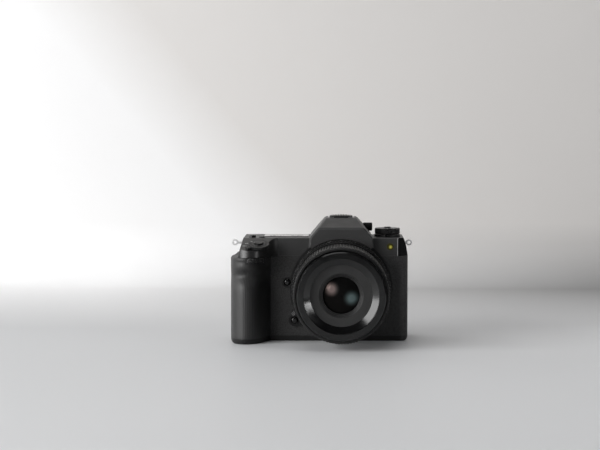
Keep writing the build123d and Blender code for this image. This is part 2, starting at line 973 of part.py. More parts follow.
def make_rear_cover():
    zone = between(bottom_seam, top_seam, split_y, reach)
    cover = body_form() & zone
    left, right, low, high = screen_recess()
    cavity = body_form(cover_wall) & block(bulkhead_x, reach, split_y, reach, bottom_seam, top_seam)
    floor = body_rear - screen_recess_depth
    cavity -= block(
        left - cover_wall, right + cover_wall, floor - cover_wall, reach, low - cover_wall, high + cover_wall
    )
    buttons = [(menu_x, menu_z, menu_button_radius), (quick_x, quick_z, rear_button_radius)]
    for x, z, radius in buttons:
        cavity -= rear_frame(x, z) * button_boss(radius + button_wall, button_sink)
    stick_depth = stick_pocket_depth + cover_wall
    cavity -= rear_frame(stick_x, stick_z) * Pos(0, 0, -stick_depth / 2) * Cylinder(
        stick_pocket_radius + cover_wall, stick_depth
    )
    cover -= cavity
    for x, y in base_screw_places():
        if y > split_y:
            cover += rod(screw_boss_radius, (x, y, bottom_seam), (x, y, bottom_seam + screw_boss_height))
            cover -= base_screw(x, y)
    cover -= block(left, right, floor, reach, low, high)
    cover -= battery_space() + card_unit_space()
    for x, z, radius in buttons:
        cover -= rear_frame(x, z) * button_well(radius, button_sink)
    cover -= stick_room()
    for side, door_low, door_high in ((-1, card_door_low, card_door_high), (1, port_door_low, port_door_high)):
        cover -= side_door_space(side, door_low, door_high, panel_gap)
        cover -= side_door_pins(
            side, door_low, door_high, door_pin_radius + running_gap, door_pin_length + seat_gap
        )
    cover -= socket_block()
    cover += side_hinge_lugs()
    return cover


def stick_room():
    frame = rear_frame(stick_x, stick_z)
    room = Pos(0, 0, (reach - stick_pocket_depth) / 2) * Cylinder(
        stick_pocket_radius, reach + stick_pocket_depth
    )
    reach_x = gimbal_pin_reach + seat_gap
    pins = rod(gimbal_pin_radius + running_gap, (-reach_x, 0, -stick_pivot_depth), (reach_x, 0, -stick_pivot_depth))
    return frame * (room + pins)


def make_bottom_plate():
    plate = (body_form() + grip_form()) & between(0, bottom_seam, -reach, reach)
    plate -= battery_space()
    plate -= battery_door_space(panel_gap)
    x, z = battery_door_axis()
    y0, y1 = battery_door_span()
    length = door_pin_length + seat_gap
    plate -= rod(door_pin_radius + running_gap, (x, y0 - length, z), (x, y1 + length, z))
    plate -= rod(tripod_bush_radius, (0, 0, 0), (0, 0, tripod_bush_height))
    for screw_x, screw_y in base_screw_places():
        plate -= base_screw(screw_x, screw_y)
    return plate


def make_top_cover(platform):
    side = polygon(
        [(body_front, top_seam), (body_front, deck_height - deck_edge), (body_front + deck_edge, deck_height),
         (body_rear - deck_edge, deck_height), (body_rear, deck_height - deck_edge), (body_rear, top_seam)]
    )
    deck = (body_form() & side_prism(side, -reach, reach)) - corner_facet()
    hump = hump_form()
    hump = chamfer(hump.edges().filter_by(lambda e: e.center().Z > hump_foot_z + hump_edge), hump_edge)
    block_face = Pos(0, (eyepiece_low + eyepiece_high) / 2) * RectangleRounded(
        2 * eyepiece_half_width, eyepiece_high - eyepiece_low, eyepiece_radius
    )
    eyepiece = front_prism(block_face, 0, eyepiece_back)
    cover = deck + hump + eyepiece
    guard = lens_disc(boss_radius + hump_wall, -reach, boss_back + hump_wall)
    cavity = body_form(cover_wall) - corner_facet(cover_wall)
    cavity += hump_form(hump_wall) & between(hump_foot_z, hump_ceiling_z, -reach, body_rear - cover_wall)
    cavity -= guard
    for x, z in ((focus_on_x, focus_on_z), (play_x, play_z)):
        cavity -= rear_frame(x, z) * button_boss(rear_button_radius + button_wall, button_sink)
    y, low = rear_dial_centre(), rear_dial_low + rear_dial_thickness
    cavity -= rod(dial_boss_radius, (rear_dial_x, y, low), (rear_dial_x, y, deck_height))
    low = deck_height - mode_dial_shaft - cover_wall
    cavity -= rod(dial_boss_radius, (mode_dial_x, mode_dial_y, low), (mode_dial_x, mode_dial_y, deck_height))
    lamp_back = body_front + lamp_depth + cover_wall
    cavity -= rod(lamp_radius + cover_wall, (lamp_x, body_front, lamp_z), (lamp_x, lamp_back, lamp_z))
    cover -= cavity
    cover -= lens_disc(boss_radius, -reach, boss_back)
    cover -= platform
    cover -= shoe_space(shoe_pocket_gap)
    cover -= block(display_left, display_right, display_front, display_back,
                   deck_height + display_proud - display_thickness, reach) & display_room()
    for x, z in ((focus_on_x, focus_on_z), (play_x, play_z)):
        cover -= rear_frame(x, z) * button_well(rear_button_radius, button_sink)
    cover -= rear_dial_room()
    shaft = dial_shaft_radius + running_gap
    depth = mode_dial_shaft + seat_gap
    cover -= rod(shaft, (mode_dial_x, mode_dial_y, deck_height - depth), (mode_dial_x, mode_dial_y, deck_height))
    cover -= rod(lamp_radius, (lamp_x, body_front - overrun, lamp_z), (lamp_x, body_front + lamp_depth, lamp_z))
    cover -= finder_tube()
    for lug in strap_lug_pins():
        cover -= lug
    cover -= diopter_room()
    return cover


def display_room():
    face = Pos((display_left + display_right) / 2, (display_front + display_back) / 2) * RectangleRounded(
        display_right - display_left, display_back - display_front, display_radius
    )
    return plan_prism(face, deck_height + display_proud - display_thickness, reach)


def rear_dial_centre():
    return body_rear + rear_dial_proud - rear_dial_radius


def rear_dial_room():
    x, y = rear_dial_x, rear_dial_centre()
    low, high = rear_dial_low - free_gap, rear_dial_low + rear_dial_thickness + free_gap
    room = rod(rear_dial_radius + free_gap, (x, y, low), (x, y, high))
    top = rear_dial_low + rear_dial_thickness + rear_dial_shaft + seat_gap
    return room + rod(dial_shaft_radius + running_gap, (x, y, low), (x, y, top))


def make_platform():
    form = platform_form()
    collar = slope_plane.location * extrude(Circle(collar_radius), collar_height)
    platform = form + collar
    platform -= rod(
        front_dial_radius + free_gap, (front_dial_x, front_dial_y, top_seam - overrun),
        (front_dial_x, front_dial_y, top_seam + seat_gap),
    )
    top = slope_plane.location * Pos(0, 0, collar_height)
    platform -= top * button_well(release_radius, release_travel, travel=release_travel)
    platform -= top_frame(top_button_left_x, top_button_y) * button_well(top_button_radius, button_sink)
    platform -= top_frame(top_button_right_x, top_button_y) * button_well(small_button_radius, button_sink)
    return platform


# Controls on the platform and the deck
def make_release_button():
    top = slope_plane.location * Pos(0, 0, collar_height)
    return top * button_cap(release_radius, release_proud, release_travel, travel=release_travel)


def make_power_lever():
    ring = ribbed(lever_radius, lever_rib_depth, lever_rib_count, lever_height - free_gap, ease=lever_rib_depth)
    tab = Rot(0, 0, lever_tab_angle) * block(
        0, lever_radius + lever_tab_length, -lever_tab_width / 2, lever_tab_width / 2, 0, lever_tab_height
    )
    ring += tab
    ring -= Cylinder(collar_radius + free_gap, 2 * reach)
    return slope_plane.location * Pos(0, 0, free_gap) * ring


def make_front_dial():
    disc = ribbed(
        front_dial_radius, dial_rib_depth, front_dial_ribs, front_dial_thickness - seat_gap, ease=dial_ease
    )
    disc += Pos(0, 0, -front_dial_shaft) * extrude(Circle(dial_shaft_radius), front_dial_shaft)
    return Pos(front_dial_x, front_dial_y, grip_dial_floor + seat_gap) * disc


def make_rear_dial():
    disc = ribbed(rear_dial_radius, dial_rib_depth, rear_dial_ribs, rear_dial_thickness, ease=dial_ease)
    disc += extrude(Circle(dial_shaft_radius), rear_dial_thickness + rear_dial_shaft)
    return Pos(rear_dial_x, rear_dial_centre(), rear_dial_low) * disc


def mode_dial_low():
    return deck_height + free_gap + mode_lever_height + free_gap


def make_mode_dial():
    disc = ribbed(mode_dial_radius, dial_rib_depth, mode_dial_ribs, mode_dial_height, ease=dial_ease)
    low = mode_dial_low()
    shaft = extrude(Circle(dial_shaft_radius), low - deck_height + mode_dial_shaft)
    disc += Pos(0, 0, deck_height - mode_dial_shaft - low) * shaft
    pocket = mode_lock_sink + mode_lock_travel + seat_gap
    disc -= Pos(0, 0, mode_dial_height - pocket) * extrude(Circle(mode_lock_radius + free_gap), reach)
    return Pos(mode_dial_x, mode_dial_y, low) * disc


def make_mode_lock():
    height = mode_lock_sink + mode_lock_proud
    cap = extrude(Circle(mode_lock_radius), height)
    cap = chamfer(cap.edges().sort_by(Axis.Z)[-1], mode_lock_radius * button_ease_share)
    low = mode_dial_low() + mode_dial_height - mode_lock_sink
    return Pos(mode_dial_x, mode_dial_y, low) * cap


def make_mode_lever():
    ring = extrude(Circle(mode_lever_radius), mode_lever_height)
    ring += Rot(0, 0, mode_lever_tab_angle) * block(
        0, mode_lever_radius + mode_lever_tab, -mode_lever_tab_width / 2, mode_lever_tab_width / 2,
        0, mode_lever_height,
    )
    ring -= Cylinder(dial_shaft_radius + running_gap, 2 * reach)
    return Pos(mode_dial_x, mode_dial_y, deck_height + free_gap) * ring


def hump_side_x(z):
    """Half the hump's width at a height above its brow."""
    share = (z - hump_brow_z) / (hump_top_z - hump_brow_z)
    return hump_half_brow + (hump_half_top - hump_half_brow) * share


def diopter_room():
    left = hump_side_x(diopter_z) - diopter_sink - free_gap
    room = rod(diopter_radius + free_gap, (left, diopter_y, diopter_z), (reach, diopter_y, diopter_z))
    shaft = rod(
        dial_shaft_radius / 2 + running_gap, (left - diopter_sink, diopter_y, diopter_z),
        (left, diopter_y, diopter_z),
    )
    return room + shaft


def make_diopter():
    left = hump_side_x(diopter_z) - diopter_sink
    knob = ribbed(diopter_radius, dial_rib_depth, diopter_ribs, diopter_length, ease=dial_ease)
    knob += Pos(0, 0, -diopter_sink) * extrude(Circle(dial_shaft_radius / 2), diopter_sink)
    return Pos(left, diopter_y, diopter_z) * Rot(0, 90, 0) * knob


# Deck pieces
def make_sub_display():
    return display_room() & block(
        -reach, reach, -reach, reach, deck_height + display_proud - display_thickness,
        deck_height + display_proud,
    )


def make_shoe():
    shoe = shoe_space()
    floor = shoe_floor_z + shoe_base
    slot = block(-shoe_slot_half, shoe_slot_half, -reach, reach, floor, floor + shoe_slot_height)
    mouth = block(-shoe_lip_half, shoe_lip_half, -reach, reach, floor, reach)
    return shoe - slot - mouth


def make_shoe_cover():
    floor = shoe_floor_z + shoe_base
    foot_half = shoe_slot_half - shoe_fit
    neck_half = shoe_lip_half - shoe_fit
    length = shoe_length
    lip_top = floor + shoe_slot_height + shoe_lip
    foot = block(-foot_half, foot_half, 0, length, floor + shoe_fit / 2, floor + shoe_slot_height - shoe_fit)
    neck = block(-neck_half, neck_half, 0, length, floor + shoe_fit / 2, lip_top)
    half = shoe_cover_half
    bow = make_face([
        ThreePointArc((-half, shoe_cover_edge), (0, shoe_cover_top), (half, shoe_cover_edge)),
        Polyline((half, shoe_cover_edge), (half, 0), (-half, 0), (-half, shoe_cover_edge)),
    ])
    crown = front_prism(bow, 0, length)
    cover = foot + neck + Pos(0, 0, lip_top + shoe_fit) * crown
    cover += block(-neck_half, neck_half, 0, length, lip_top, lip_top + shoe_fit)
    pitch = 2 * half / shoe_cover_ribs
    for step in range(1, shoe_cover_ribs):
        x = -half + pitch * step
        cover -= block(
            x - pitch * shoe_rib_share / 2, x + pitch * shoe_rib_share / 2, -reach, reach,
            lip_top + shoe_fit + shoe_cover_top - shoe_rib_depth, reach,
        )
    return Pos(0, shoe_front, 0) * cover


def finder_tube():
    low, high = finder_low + finder_window_margin, hump_ceiling_z - finder_window_margin
    return block(
        -finder_half_width, finder_half_width, 0, eyepiece_back - glass_thickness,
        low - glass_thickness, high + glass_thickness,
    ) + block(-finder_half_width, finder_half_width, 0, eyepiece_back, low, high)


def make_finder():
    tube = finder_tube()
    front = boss_back + hump_wall
    box = block(
        -finder_half_width, finder_half_width, front, front + finder_box_length, finder_low, hump_ceiling_z
    )
    unit = box + tube
    low, high = finder_low + finder_window_margin, hump_ceiling_z - finder_window_margin
    unit -= block(
        -finder_window_half, finder_window_half, front + hump_wall, reach, low + glass_thickness,
        high - glass_thickness,
    )
    unit -= block(-finder_half_width, finder_half_width, eyepiece_back - glass_thickness, reach, low, high)
    return unit


def make_eyepiece_glass():
    low, high = finder_low + finder_window_margin, hump_ceiling_z - finder_window_margin
    return block(
        -finder_half_width, finder_half_width, eyepiece_back - glass_thickness, eyepiece_back, low, high
    )


def make_eyecup():
    centre = (eyepiece_low + eyepiece_high) / 2
    width, height = 2 * eyepiece_half_width, eyepiece_high - eyepiece_low
    radius = eyepiece_radius + eyecup_margin
    near = Plane(origin=(0, eyepiece_back, centre), x_dir=(1, 0, 0), z_dir=(0, 1, 0))
    far = near.offset(eyecup_depth)
    flare = 2 * eyecup_flare
    outer = loft([
        near * RectangleRounded(width, height, radius),
        far * RectangleRounded(width + flare, height + flare, radius + eyecup_flare),
    ])
    wall = 2 * eyecup_wall
    inner = loft([
        near * RectangleRounded(width - wall, height - wall, radius - eyecup_wall / 2),
        far * RectangleRounded(width + flare - wall, height + flare - wall, radius),
    ])
    return outer - inner


def make_lamp():
    return rod(lamp_radius, (lamp_x, body_front - lamp_proud, lamp_z), (lamp_x, body_front + lamp_depth, lamp_z))


def strap_lug_pins():
    left = rod(lug_pin_radius, (lug_left_x, lug_y, lug_z), (lug_left_x + lug_pin_length, lug_y, lug_z))
    right = rod(lug_pin_radius, (lug_right_x - lug_pin_length, lug_y, lug_z), (lug_right_x, lug_y, lug_z))
    return [left, right]


def make_strap_lugs():
    lugs = []
    for x, pin in zip((lug_left_x, lug_right_x), strap_lug_pins()):
        eye = rod(lug_radius, (x, lug_y - lug_thickness / 2, lug_z), (x, lug_y + lug_thickness / 2, lug_z))
        hole = rod(lug_hole_radius, (x, lug_y - reach, lug_z), (x, lug_y + reach, lug_z))
        lugs.append((eye + pin) - hole)
    return lugs


# Joystick
def make_gimbal():
    ring = Cylinder(gimbal_radius, gimbal_thickness)
    ring += rod(gimbal_pin_radius, (-gimbal_pin_reach, 0, 0), (gimbal_pin_reach, 0, 0))
    ring -= Cylinder(gimbal_bore, 2 * reach)
    reach_z = gimbal_radius + overrun
    ring -= rod(stick_pin_radius + running_gap, (0, -reach_z, 0), (0, reach_z, 0))
    return rear_frame(stick_x, stick_z) * Pos(0, 0, -stick_pivot_depth) * ring


def make_joystick():
    rise = stick_pivot_depth + stick_cap_gap
    stick = Pos(0, 0, -stick_tail) * extrude(Circle(stick_radius), stick_tail + rise)
    cap = Pos(0, 0, rise) * extrude(Circle(stick_cap_radius), stick_cap_height)
    cap = chamfer(cap.edges().sort_by(Axis.Z)[-1], stick_cap_height / 3)
    stick += cap
    stick += rod(stick_pin_radius, (0, -stick_pin_reach, 0), (0, stick_pin_reach, 0))
    return rear_frame(stick_x, stick_z) * Pos(0, 0, -stick_pivot_depth) * stick


# Tilting screen: a side frame, an arm and the screen, each hinged at one edge
def layer_y(index):
    floor = body_rear - screen_recess_depth
    return floor + screen_layer_gap + index * (screen_plate + screen_layer_gap)


def hinge_bar(start, end, pins):
    """A round hinge bar from start to end, with a smaller pin standing out of each end."""
    line = (Vector(*end) - Vector(*start)).normalized()
    bar = rod(hinge_radius, start, end)
    if pins:
        a = Vector(*start) - line * hinge_pin_length
        b = Vector(*end) + line * hinge_pin_length
        bar += rod(hinge_pin_radius, tuple(a), tuple(b))
    return bar


def side_axis_x():
    return screen_left - screen_side_gap - hinge_radius


def side_hinge_lugs():
    x, y = side_axis_x(), hinge_axis_y
    middle = (screen_low + screen_high) / 2
    floor = body_rear - screen_recess_depth
    lugs = Part()
    for side in (-1, 1):
        z0 = middle + side * (side_hinge_half + free_gap)
        z1 = z0 + side * hinge_ear_width
        low, high = min(z0, z1), max(z0, z1)
        lug = block(x - hinge_radius, x + hinge_radius, floor, y, low, high)
        lug += rod(hinge_radius, (x, y, low), (x, y, high))
        lug -= rod(hinge_pin_radius + running_gap, (x, y, low - overrun), (x, y, high + overrun))
        lugs += lug
    return lugs


def make_screen_side_frame():
    x, y = side_axis_x(), hinge_axis_y
    middle = (screen_low + screen_high) / 2
    y0 = layer_y(0)
    y1 = y0 + screen_plate
    plate = block(screen_left, screen_right, y0, y1, screen_low, screen_high)
    m = frame_window_margin
    plate -= block(screen_left + m, screen_right - m, -reach, reach, screen_low + m, screen_high - m)
    bar = hinge_bar((x, y, middle - side_hinge_half), (x, y, middle + side_hinge_half), True)
    web = block(x - hinge_web / 2, x + hinge_web / 2, y0, y, middle - side_hinge_half, middle + side_hinge_half)
    foot = block(x - hinge_web / 2, screen_left, y0, y1, middle - side_hinge_half, middle + side_hinge_half)
    frame = plate + bar + web + foot
    return frame + screen_ears(top_axis_z(), y0, y1, top_hinge_half)


def screen_middle_x():
    return (screen_left + screen_right) / 2


def top_axis_z():
    return screen_high + hinge_radius + free_gap


def low_axis_z():
    return screen_low - hinge_radius - free_gap


def screen_ears(z, y0, y1, half):
    """Two ears that reach back from a plate to the hinge axis, with a bridge to the plate."""
    inward = -1 if z > (screen_low + screen_high) / 2 else 1
    ears = Part()
    for side in (-1, 1):
        a = screen_middle_x() + side * (half + free_gap)
        b = a + side * hinge_ear_width
        x0, x1 = min(a, b), max(a, b)
        ear = block(x0, x1, y0, hinge_axis_y, z - hinge_radius, z + hinge_radius)
        ear += rod(hinge_radius, (x0, hinge_axis_y, z), (x1, hinge_axis_y, z))
        low, high = sorted((z + inward * 2 * hinge_radius, z))
        ear += block(x0, x1, y0, y1, low, high)
        ear -= rod(hinge_pin_radius + running_gap, (x0 - overrun, hinge_axis_y, z), (x1 + overrun, hinge_axis_y, z))
        ears += ear
    return ears


def hinge_tongue(z, y0, y1, half):
    """The bar between a pair of ears, with a web down to its own plate."""
    x = screen_middle_x()
    inward = -1 if z > (screen_low + screen_high) / 2 else 1
    bar = hinge_bar((x - half, hinge_axis_y, z), (x + half, hinge_axis_y, z), True)
    low, high = sorted((z + inward * hinge_radius, z))
    web = block(x - half, x + half, y0, hinge_axis_y, low, high)
    low, high = sorted((z + inward * 2 * hinge_radius, z))
    return bar + web + block(x - half, x + half, y0, y1, low, high)


def make_screen_arm():
    y0 = layer_y(1)
    y1 = y0 + screen_plate
    plate = block(screen_left, screen_right, y0, y1, screen_low, screen_high)
    m = frame_window_margin
    plate -= block(screen_left + m, screen_right - m, -reach, reach, screen_low + m, screen_high - m)
    arm = plate + hinge_tongue(top_axis_z(), y0, y1, top_hinge_half)
    return arm + screen_ears(low_axis_z(), y0, y1, low_hinge_half)


def screen_back():
    return layer_y(2) + screen_thickness


def make_screen():
    y0, y1 = layer_y(2), screen_back()
    panel = rounded_plate(screen_left, screen_right, y0, y1, screen_low, screen_high, screen_radius)
    m = screen_glass_margin
    panel -= rounded_plate(
        screen_left + m, screen_right - m, y1 - screen_glass_thickness, y1 + overrun,
        screen_low + m, screen_high - m, screen_radius,
    )
    return panel + hinge_tongue(low_axis_z(), y0, y1 - screen_plate, low_hinge_half)


def make_screen_glass():
    m, y1 = screen_glass_margin, screen_back()
    return rounded_plate(
        screen_left + m, screen_right - m, y1 - screen_glass_thickness, y1,
        screen_low + m, screen_high - m, screen_radius,
    )


# Doors
def make_side_door(side, low, high):
    door = side_door_space(side, low, high, 0)
    door = with_hinge_roll(door, side, low, high)
    door += side_door_pins(side, low, high, door_pin_radius, door_pin_length)
    face = body_right if side > 0 else body_left
    nail = rod(door_nail_radius, (face, side_door_front, (low + high) / 2 - door_nail_radius * 3),
               (face, side_door_front, (low + high) / 2 + door_nail_radius * 3))
    return door - nail


def with_hinge_roll(door, side, low, high):
    """Rounds the door's hinge edge so that it turns inside its recess."""
    x, y = side_door_axis(side)
    return door + rod(door_thickness / 2, (x, y, low), (x, y, high))


def battery_door_span():
    return (battery_front - battery_door_margin, battery_front + battery_thickness + battery_door_margin)


def battery_door_axis():
    return battery_left + battery_width + battery_door_margin, door_thickness / 2


def battery_door_space(gap):
    y0, y1 = battery_door_span()
    x, z = battery_door_axis()
    extra = door_thickness / 2 + gap if gap else 0
    low = -reach if gap else 0
    high = door_thickness + (door_floor_gap if gap else 0)
    return block(battery_left - gap, x + extra, y0 - gap, y1 + gap, low, high)


def latch_place():
    y0, y1 = battery_door_span()
    x0 = battery_left + latch_from_edge
    middle = (y0 + y1) / 2
    return x0, middle


def make_battery_door():
    x, z = battery_door_axis()
    y0, y1 = battery_door_span()
    door = battery_door_space(0) + rod(door_thickness / 2, (x, y0, z), (x, y1, z))
    door += rod(door_pin_radius, (x, y0 - door_pin_length, z), (x, y1 + door_pin_length, z))
    left, middle = latch_place()
    half = latch_width / 2 + free_gap
    return door - block(
        left - free_gap, left + latch_length + latch_travel + free_gap, middle - half, middle + half,
        -reach, latch_thickness + free_gap,
    )


def make_latch():
    left, middle = latch_place()
    half = latch_width / 2
    latch = block(left, left + latch_length, middle - half, middle + half, door_floor_gap, latch_thickness)
    groove = latch_length / 5
    for step in (1, 3):
        latch -= block(
            left + groove * step, left + groove * (step + 1), -reach, reach, -reach, 2 * door_floor_gap
        )
    return latch


# Battery and cards
def make_battery():
    return battery_space(0)


def make_card_slots():
    unit = card_unit_space()
    left = body_left + door_thickness + door_floor_gap
    for step in range(2):
        y = card_first_y + card_pitch * step
        unit -= block(
            left - overrun, left + card_gap * 2 + card_length, y - card_gap, y + card_thickness + card_gap,
            card_low - card_gap, card_low + card_height + card_gap,
        )
    return unit


def make_cards():
    left = body_left + door_thickness + door_floor_gap + card_gap
    corner = card_height / 8
    cards = []
    for step in range(2):
        y = card_first_y + card_pitch * step
        low, high = card_low, card_low + card_height
        face = polygon([
            (left, low), (left + card_length, low), (left + card_length, high - corner),
            (left + card_length - corner, high), (left, high),
        ])
        cards.append(front_prism(face, y, y + card_thickness))
    return cards


# Mount and lens
def make_mount_ring():
    back = flange_y + mount_ring_thickness
    ring = lens_ring(mount_ring_radius, throat_radius, flange_y, back)
    for step in range(mount_tab_count):
        start = 360 * step / mount_tab_count
        ring += ring_sector(
            throat_radius + mount_tab_root, mount_tab_inner, start, mount_tab_angle, flange_y, flange_y + mount_tab_thickness
        )
    x, z = lock_pin_place()
    ring -= rod(lock_pin_radius + running_gap, (x, flange_y - overrun, z), (x, back + overrun, z))
    for screw_x, screw_z in mount_screw_places():
        ring -= mount_screw(screw_x, screw_z)
    return ring


def make_screws():
    screws = [mount_screw(x, z) for x, z in mount_screw_places()]
    return screws + [base_screw(x, y) for x, y in base_screw_places()]


def make_lock_pin():
    x, z = lock_pin_place()
    return rod(
        lock_pin_radius, (x, flange_y - lock_pin_proud, z), (x, flange_y + lock_pin_length, z)
    )


def make_lens_mount():
    plate = lens_turned([
        (lens_mount_inner, -lens_tail), (lens_mount_tube, -lens_tail), (lens_mount_tube, 0),
        (mount_ring_radius + free_gap, 0), (mount_ring_radius + free_gap, lens_mount_plate),
        (lens_mount_inner, lens_mount_plate),
    ])
    back = flange_y + lens_claw_back
    for step in range(mount_tab_count):
        start = 360 * step / mount_tab_count
        plate += ring_sector(
            lens_claw_radius, lens_mount_tube - mount_tab_root, start, mount_tab_angle, back - lens_claw_thickness, back
        )
    x, z = lock_pin_place()
    notch = lock_pin_radius + lock_pin_notch_gap
    plate -= rod(notch, (x, flange_y - lock_pin_proud - lock_pin_notch_gap, z), (x, flange_y, z))
    return plate


def make_lens_barrel():
    outer = [
        (barrel_radius - barrel_wall, lens_mount_plate), (mount_ring_radius + free_gap, lens_mount_plate),
        (mount_ring_radius + free_gap, free_gap), (lens_collar_radius, free_gap),
        (lens_collar_radius, lens_collar_end), (aperture_seat_radius, lens_collar_end),
        (aperture_seat_radius, band_start), (band_radius, band_start), (band_radius, band_end),
        (barrel_radius, band_end), (barrel_radius, front_ring_start), (optic_radius, front_ring_start),
        (optic_radius, -lens_tail), (optic_tube_radius, -lens_tail),
        (optic_tube_radius, front_ring_start - barrel_web),
        (barrel_radius - barrel_wall, front_ring_start - barrel_web),
    ]
    return lens_turned(outer) - baffle_form()


def lens_knurl(radius, depth, count, start, end, bore):
    ring = ribbed(radius, depth, count, end - start, bore)
    return Pos(0, flange_y - start, lens_axis_height) * Rot(90, 0, 0) * ring


def make_aperture_ring():
    bore = aperture_seat_radius + free_gap
    start, end, land = aperture_ring_start, aperture_ring_end, aperture_land
    ring = lens_knurl(
        aperture_ring_radius, aperture_rib_depth, aperture_ribs, start + land, end - land / 2, bore
    )
    rim = aperture_ring_radius - aperture_rib_depth
    ring += lens_turned([(bore, start), (rim, start), (rim, start + land), (bore, start + land)])
    return ring + lens_turned([(bore, end - land / 2), (rim, end - land / 2), (rim, end), (bore, end)])


def make_focus_ring():
    bore = barrel_radius + free_gap
    start, end, land = focus_ring_start, focus_ring_end, focus_land
    ring = lens_knurl(focus_ring_radius, focus_rib_depth, focus_ribs, start + land, end - land / 3, bore)
    rim = focus_land_radius
    ring += lens_turned([(bore, start), (rim, start), (rim, start + land), (bore, start + land)])
    return ring + lens_turned([
        (bore, end - land / 3), (rim, end - land / 3), (rim, end - land / 8), (rim - land / 8, end), (bore, end),
    ])


def make_front_ring():
    front = lens_length
    profile = [
        (baffle_seat_radius, front_ring_start), (front_ring_radius, front_ring_start),
        (front_ring_radius, front - front_ring_edge), (front_ring_radius - front_ring_edge, front),
        (filter_radius, front), (filter_radius, front - filter_depth), (cone_inner_radius, cone_floor),
        (cone_inner_radius, front_ring_start + baffle_thickness),
        (baffle_seat_radius, front_ring_start + baffle_thickness),
    ]
    return lens_turned(profile)


def baffle_form():
    top, low = front_ring_start + baffle_thickness, front_ring_start
    throat = low - bezel_depth + baffle_thickness
    return lens_turned([
        (baffle_inner_radius, top), (baffle_seat_radius, top), (baffle_seat_radius, low),
        (baffle_inner_radius + bezel_lip, low), (bezel_inner_radius + bezel_lip, throat),
        (bezel_inner_radius, throat),
    ])


def glass_element(radius, vertex, curve, back, back_curve):
    """A round glass with a convex front; a positive back curve bulges and a negative one is hollow."""
    def sag(r, big):
        return (abs(big) - sqrt(big * big - r * r)) * (1 if big > 0 else -1)

    def point(r, f):
        return (r, flange_y - f)

    stations = (0, radius / 2, radius)
    front_arc = ThreePointArc(*[point(r, vertex - sag(r, curve)) for r in stations])
    back_arc = ThreePointArc(*[point(r, back + sag(r, back_curve)) for r in stations])
    rim = Line(front_arc @ 1, back_arc @ 1)
    face = make_face([front_arc, rim, back_arc, Line(back_arc @ 0, front_arc @ 0)])
    return Pos(0, 0, lens_axis_height) * revolve(face, Axis.Y)


def make_lens_glass():
    return [
        glass_element(
            optic_radius, front_glass_vertex, front_glass_curve, front_glass_back, -front_glass_back_curve
        ),
        glass_element(
            optic_radius, middle_glass_vertex, middle_glass_curve, middle_glass_back, middle_glass_curve
        ),
        glass_element(optic_radius, rear_glass_vertex, rear_glass_curve, rear_glass_back, rear_glass_curve),
        glass_element(optic_radius, tail_glass_vertex, tail_glass_curve, tail_glass_back, tail_glass_curve),
    ]


def make_iris():
    y1 = flange_y - iris_place
    y0 = y1 - iris_thickness
    unit = lens_ring(optic_radius, optic_radius - iris_rim, y0, y1)
    middle = (y0 + y1) / 2
    blades = lens_disc(optic_radius - iris_rim / 2, middle - iris_blade_thickness / 2,
                       middle + iris_blade_thickness / 2)
    hole = front_prism(Pos(0, lens_axis_height) * RegularPolygon(iris_hole, iris_blades), y0 - overrun, y1 + overrun)
    return unit + (blades - hole)


# Inside the body
def picture_gate(y0, y1, margin):
    half_w, half_h = picture_width / 2 + margin, picture_height / 2 + margin
    return block(-half_w, half_w, y0, y1, lens_axis_height - half_h, lens_axis_height + half_h)


def make_shutter():
    y0, y1 = boss_back, boss_back + shutter_thickness
    high = top_seam - seat_gap
    frame = block(
        -shutter_half_width, shutter_half_width, y0, y1, lens_axis_height - shutter_half_height,
        min(lens_axis_height + shutter_half_height, high),
    )
    frame -= picture_gate(y0 - overrun, y1 + overrun, picture_margin)
    low = lens_axis_height - picture_height / 2 - picture_margin
    half = picture_width / 2 + picture_margin
    for step in range(shutter_leaves):
        y = y0 + shutter_leaf_pitch * (step + 1)
        top = low + shutter_leaf_height * (step + 1) / shutter_leaves
        frame += block(-half, half, y, y + shutter_leaf_thickness, low, top)
    return frame


def make_sensor():
    front = boss_back + shutter_thickness
    height = lens_axis_height
    frame = block(
        -sensor_half_width, sensor_half_width, front, sensor_frame_back,
        height - sensor_half_height, height + sensor_half_height,
    )
    frame -= picture_gate(front - overrun, sensor_plane_y, picture_margin)
    chip = picture_gate(sensor_plane_y, sensor_plane_y + sensor_chip_thickness, sensor_chip_margin)
    frame -= chip
    for side in (-1, 1):
        for rise in (-1, 1):
            x = side * (sensor_half_width - standoff_in)
            z = height + rise * (sensor_half_height - standoff_in)
            frame += rod(standoff_radius, (x, sensor_frame_back, z), (x, board_y, z))
    return [frame, chip]


def make_board():
    back = board_y + board_thickness
    board = block(board_left, board_right, board_y, back, board_low, board_high)
    for column in range(chip_count):
        for row in range(chip_count):
            x = board_left + chip_pitch * (column + 1)
            z = board_low + (chip_size + chip_height) * (row + 1) - chip_height
            board += block(
                x - chip_size / 2, x + chip_size / 2, back, back + chip_height,
                z - chip_size / 2, z + chip_size / 2,
            )
    return board


def socket_inner_x():
    return body_right - door_thickness - door_floor_gap - socket_length


def socket_block():
    x0, x1 = socket_inner_x(), body_right - door_thickness - door_floor_gap
    low = min(socket_heights) - socket_height
    high = max(socket_heights) + socket_height
    back = board_y + board_thickness
    return block(x0, x1, back - socket_depth_y, back, low, high)


def make_sockets():
    sockets = socket_block()
    right = body_right - door_thickness - door_floor_gap
    y = board_y + board_thickness - socket_depth_y / 2
    for z in socket_heights:
        sockets -= rod(socket_hole_radius, (right - socket_hole_depth, y, z), (right + overrun, y, z))
    sockets -= block(
        -reach, board_right, board_y, board_y + board_thickness, -reach, reach
    )
    return sockets


def make_tripod_socket():
    bush = rod(tripod_bush_radius, (0, 0, 0), (0, 0, tripod_bush_height))
    return bush - rod(tripod_thread_radius, (0, 0, 0), (0, 0, tripod_thread_depth))


